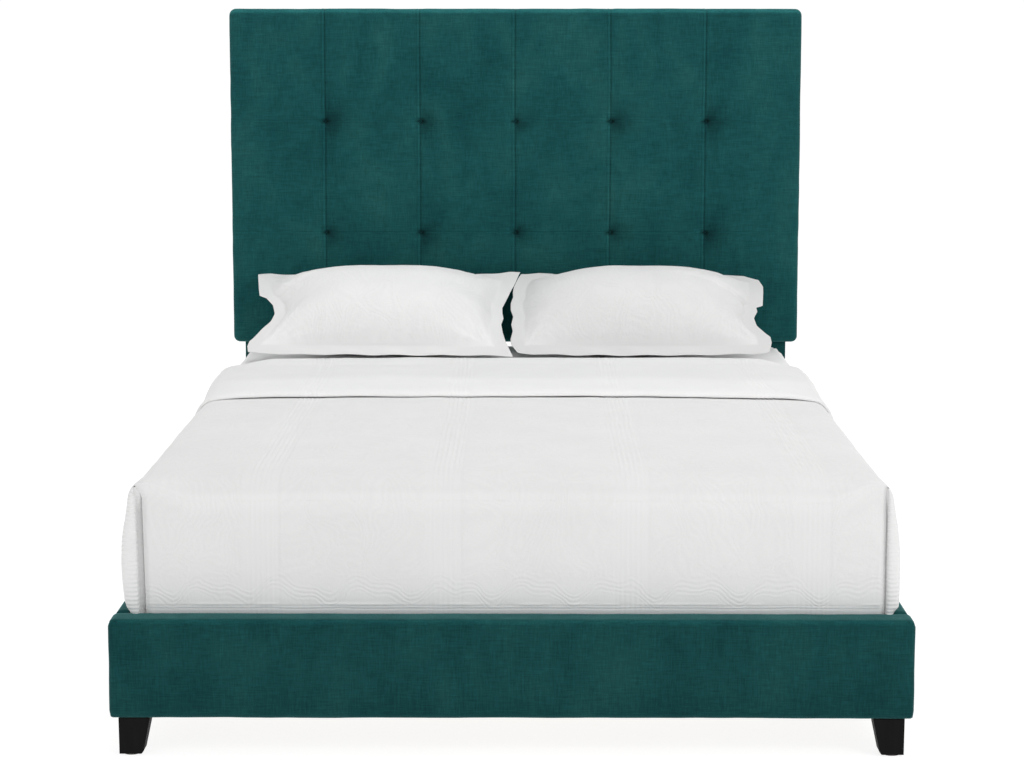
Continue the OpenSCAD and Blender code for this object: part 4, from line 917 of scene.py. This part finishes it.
# ------------------------------------------------------------------ pillows in flanged shams
def pillow(name, body, centre_x, seed, peak, tone, left, right, top, bottom):
    """left and right: (height on the pillow, half width) down its sides; top and bottom: (place across, height)."""
    tilt = math.radians(26)
    ey, ez = math.cos(tilt), math.sin(tilt)  # up the pillow
    wy, wz = -math.sin(tilt), math.cos(tilt)  # out of its face
    b, half_w, flange = 0.2025, 0.362, 0.038
    nu, nv = 156, 96
    f = lambda t: np.sign(t) * (1 - (1 - abs(t)) ** 1.2)
    us, vs = f(np.linspace(-1, 1, nu)), f(np.linspace(-1, 1, nv))
    U, W_ = np.meshgrid(us, vs, indexing="ij")
    lt, rt = np.array(left[::-1]), np.array(right[::-1])
    tp, bt = np.array(top), np.array(bottom)
    hi_edge, lo_edge = np.interp(U, tp[:, 0], tp[:, 1]), np.interp(U, bt[:, 0], bt[:, 1])
    LY = lo_edge + (hi_edge - lo_edge) * (W_ + 1) / 2
    wl, wr = np.interp(W_ * b, lt[:, 0], lt[:, 1]), np.interp(W_ * b, rt[:, 0], rt[:, 1])
    LX = -wl + (wl + wr) * (U + 1) / 2
    fu, fv = flange / half_w, flange / b
    pu, pv = np.clip(abs(U) / (1 - fu), 0, 1), np.clip(abs(W_) / (1 - fv), 0, 1)
    body_u = (1 - pu**2.9) ** 0.84
    body_v = np.where(W_ > 0, (1 - pv**2.8) ** 0.62, (1 - pv**2.1) ** 0.98)
    fat = body_u * body_v
    d_u, d_v = (1 - fu - abs(U)) * half_w, (1 - fv - abs(W_)) * b  # metres in from the stitched line
    d_in = np.minimum(d_u, d_v)
    # puckers: short ones along the stitched line and long ones fanning from the corners
    along = np.where(d_u < d_v, LY, LX)
    pucker = np.sin(along * 2 * math.pi / 0.040 + 2.6 * fbm(along * 8, d_in * 4, seed + 7, 2)) * np.exp(-np.clip(d_in, 0, 1) / 0.026) * smooth(-0.004, 0.012, d_in)
    pucker = pucker * (0.35 + 0.65 * smooth(-0.2, 0.5, fbm(along * 4, 0 * along, seed + 8, 2)))
    fan = 0.0
    for su in (-1, 1):
        for sv in (-1, 1):
            du, dv = su * half_w * (1 - fu) - U * half_w, sv * b * (1 - fv) - W_ * b
            rr, tt = np.hypot(du, dv), np.arctan2(abs(dv), abs(du))
            fan = fan + np.sin(tt * 11 + 1.7 * su + 2.9 * sv + 2.5 * fbm(rr * 9, tt * 2, seed + 11, 2)) * np.exp(-rr / 0.075) * smooth(0.004, 0.03, rr)
    big = fbm(LX * 4.2 + 3, LY * 5.5, seed + 13, 2)
    fine = fbm(LX * 15, LY * 15, seed + 15, 2)
    up = peak * fat * (1 + 0.05 * W_) + fat**0.5 * (0.0060 * big + 0.0013 * fine) + (0.0022 * pucker + 0.0055 * fan * smooth(0.0, 0.03, d_in)) * smooth(0, 0.15, fat)
    dn = 0.138 * fat * np.where(W_ < 0, body_v, 1.0) * smooth(-0.98, -0.55, W_) + fat**0.5 * 0.006 * fbm(LX * 5, LY * 5, seed + 17, 2) + 0.002 * pucker * smooth(0, 0.15, fat)
    # flange: a flat double hem that ripples
    on_fl = 1 - smooth(-0.004, 0.006, d_in)
    ripple = 0.0040 * fbm(LX * 7, LY * 7, seed + 19, 2) + 0.0014 * np.sin((LX + LY) * 50 + seed)
    lift = on_fl * ripple * smooth(0.004, -0.03, d_in)
    curl = 0.006 * np.abs(U) ** 5 * smooth(0.2, 1.0, W_) - 0.007 * smooth(0.7, 1.0, -W_) * (1 - 0.6 * smooth(-0.5, -0.95, U))
    rim = np.minimum(np.minimum((1 - abs(U)) * half_w, (1 - abs(W_)) * b) / 0.004, 1)
    groove = 0.0006 * gauss(d_in, 0.0024)
    hi_ = lift + curl + 0.0016 * np.sqrt(rim) + np.maximum(up, 0) - groove
    lo_ = lift + curl - 0.0016 * np.sqrt(rim) - np.maximum(dn, 0)
    LEAFP = 0.85 * smooth(0.006, 0.022, d_in) + 0.15
    # painted shade on the sham: tone darkens the whole pillow and the upper body a little more; the flange is darkened
    # more
    SHAM_PAINTED_SHADE = tone + 0.047 * smooth(-0.75, -0.10, W_) * (1 - on_fl) + 0.095 * on_fl
    out = []
    for side_, L_ in ((1, hi_), (-1, lo_)):
        Y = 0.801 + LY * ey + L_ * wy
        Zp = 0.677 + LY * ez + L_ * wz
        if side_ < 0:
            floor_z = 0.5585 + 0.0006 * fbm(LX * 8, LY * 8, seed + 23, 2)
            t = (Zp - floor_z) / 0.012
            Zp = np.where(t < 6, floor_z + 0.012 * (np.log1p(np.exp(np.minimum(t, 6))) - np.exp(-np.maximum(t, 0)) * 0.69 * (t > 0) - 0.69 * (t <= 0) * np.exp(np.minimum(t, 0))), Zp)
        Y = np.minimum(Y, 1.0135)
        Zp = np.maximum(Zp, 0.5580)
        out.append(np.stack([centre_x + LX, Y, Zp], -1).reshape(-1, 3))
    idx = np.arange(nu * nv).reshape(nu, nv)
    rimloop = np.concatenate([idx[:-1, 0], idx[-1, :-1], idx[:0:-1, -1], idx[0, :0:-1]])
    Fp = np.vstack([quads(nu, nv), quads(nu, nv, nu * nv, True), np.stack([rimloop, rimloop + nu * nv, np.roll(rimloop, -1) + nu * nv, np.roll(rimloop, -1)], -1)])
    at = {"cu": np.tile(LX.ravel() + seed, 2), "cv": np.tile(LY.ravel(), 2), "leaf": np.tile(LEAFP.ravel(), 2), "rib": np.zeros(2 * nu * nv), "border": np.zeros(2 * nu * nv), "painted_shade_dim": np.tile(SHAM_PAINTED_SHADE.ravel(), 2)}
    side_word = body.split("_")[1]
    ob = make(name, np.vstack(out), Fp, body, SHAM, at, [f"sham_{side_word}", f"pillow_insert_{side_word}"])
    return ob


# tone sets each pillow's painted shade: more on the right pillow than the left
pillow(
    "sham_pillow_left", "pillow_left", -0.365, 211, 0.112, 0.030,
    [(0.2025, 0.374), (0.187, 0.3725), (0.130, 0.366), (0.090, 0.360), (0.078, 0.340), (0.040, 0.318), (-0.005, 0.309), (-0.042, 0.317), (-0.107, 0.347), (-0.150, 0.367), (-0.175, 0.370), (-0.2025, 0.366)],
    [(0.2025, 0.380), (0.192, 0.376), (0.130, 0.360), (0.071, 0.341), (0.030, 0.329), (0.0, 0.330), (-0.022, 0.333), (-0.050, 0.327), (-0.100, 0.332), (-0.142, 0.340), (-0.2025, 0.361)],
    [(-1, 0.190), (-0.90, 0.200), (-0.3, 0.196), (0.5, 0.196), (0.92, 0.206), (1, 0.198)],
    [(-1, -0.194), (-0.9, -0.200), (0, -0.202), (0.8, -0.206), (1, -0.212)],
)
pillow(
    "sham_pillow_right", "pillow_right", 0.361, 307, 0.108, 0.110,
    [(0.2025, 0.3445), (0.150, 0.3585), (0.130, 0.3645), (0.105, 0.3675), (0.081, 0.3665), (0.045, 0.373), (0.012, 0.373), (-0.022, 0.366), (-0.067, 0.371), (-0.100, 0.367), (-0.135, 0.373), (-0.16, 0.372), (-0.2025, 0.352)],
    [(0.2025, 0.336), (0.165, 0.346), (0.131, 0.344), (0.055, 0.337), (0.044, 0.318), (0.015, 0.319), (-0.022, 0.307), (-0.060, 0.312), (-0.105, 0.333), (-0.125, 0.345), (-0.160, 0.346), (-0.2025, 0.338)],
    [(-1, 0.196), (-0.85, 0.204), (0.0, 0.198), (0.6, 0.200), (0.88, 0.190), (1, 0.165)],
    [(-1, -0.196), (-0.9, -0.202), (0, -0.203), (0.85, -0.198), (1, -0.188)],
)

# ------------------------------------------------------------------ hard parts kept from the CAD
for name in ("front_leg_left", "front_leg_right"):
    cad(name, "black_wood", 0.0022, 3)
for name in ("headboard_panel", "footboard_panel_front", "footboard_panel_rear", "slats"):
    cad(name, "plywood", 0.0008)
for name in ("headboard_frame", "headboard_post_left", "headboard_post_right", "headboard_lower_rail", "footboard_frame", "side_rail_left", "side_rail_right", "slat_ledger_left", "slat_ledger_right", "center_beam", "center_leg_front", "center_leg_middle", "center_leg_rear"):
    cad(name, "pine", 0.0010)
for name in ("post_screws", "front_leg_bolts", "ledger_screws", "bracket_screws", "corner_bolts"):
    cad(name, "zinc_steel", 0.0003)
for name in ("corner_brackets", "beam_hangers", "center_leg_plates"):
    cad(name, "black_steel", 0.0003)
cad("threaded_inserts", "brass", 0.0002)
for name in ("leveler_front", "leveler_middle", "leveler_rear"):
    cad(name, "black_plastic", 0.0006)
for name in ("front_glides", "rear_glides"):
    cad(name, "felt_pad", 0.0005)
cad("tuft_buttons", "teal_velvet", 0.0008, 3, TEAL_CAD)
cad("tuft_toggles", "black_plastic", 0.0004)

# ------------------------------------------------------------------ floor, light, camera
fm = Mat("floor_white")
grain = fm.noise(fm.obj, 3.0, 3.0)
fm.color(fm.ramp(grain, [(0.3, 0.28), (0.7, 0.29)])).set(Roughness=0.9)
fm.b.inputs["Specular IOR Level"].default_value = 0.0
fm.b.inputs["Emission Color"].default_value = (1, 1, 1, 1)
fm.b.inputs["Emission Strength"].default_value = 0.85
me = bpy.data.meshes.new("floor")
me.from_pydata([(-40, -40, 0), (40, -40, 0), (40, 40, 0), (-40, 40, 0)], [], [(0, 1, 2, 3)])
floor = bpy.data.objects.new("floor", me)
col.objects.link(floor)
me.materials.append(fm.m)

world = bpy.data.worlds.new("studio")
bpy.context.scene.world = world
world.use_nodes = True
wt = world.node_tree
bg = wt.nodes["Background"]
sky = wt.nodes.new("ShaderNodeSeparateXYZ")
wt.links.new(wt.nodes.new("ShaderNodeTexCoord").outputs["Generated"], sky.inputs[0])
sky_ramp = wt.nodes.new("ShaderNodeValToRGB")
wt.links.new(sky.outputs["Z"], sky_ramp.inputs[0])
for e, (p, c) in zip(sky_ramp.color_ramp.elements, ((0.10, 1.03), (0.62, 0.62))):
    e.position, e.color = p, (c, c, c, 1)
wt.links.new(sky_ramp.outputs[0], bg.inputs[0])
bg.inputs[1].default_value = 1.0


def softbox(name, place, target, size, power, tint=(1, 1, 1)):
    light = bpy.data.lights.new(name, "AREA")
    light.shape, light.size, light.size_y, light.energy, light.color = "RECTANGLE", size[0], size[1], power, tint
    ob = bpy.data.objects.new(name, light)
    col.objects.link(ob)
    ob.location = place
    d = np.array(target) - np.array(place)
    ob.rotation_euler = (math.atan2(math.hypot(d[0], d[1]), -d[2]), 0, math.atan2(d[1], d[0]) - math.pi / 2)
    return ob


softbox("key", (3.2, -3.6, 3.4), (0, 0, 0.5), (1.8, 1.4), 52)
softbox("fill", (-3.2, -3.6, 2.4), (0, 0, 0.5), (2.4, 1.8), 12)
softbox("top", (0.2, 0.9, 4.2), (0, 0, 0.5), (2.2, 1.6), 46)

scene = bpy.context.scene
scene.view_settings.view_transform = "Standard"
scene.view_settings.look = "None"
cam = bpy.data.cameras.new("photo_angle")
cam.sensor_width, cam.lens, cam.shift_y = 36.0, 81.783, -0.06
cam_ob = bpy.data.objects.new("photo_angle", cam)
col.objects.link(cam_ob)
cam_ob.location = (0.02547, -5.6791, 1.4822)
cam_ob.rotation_euler = (math.pi / 2 - 0.1279, 0, 0.00522)
scene.camera = cam_ob
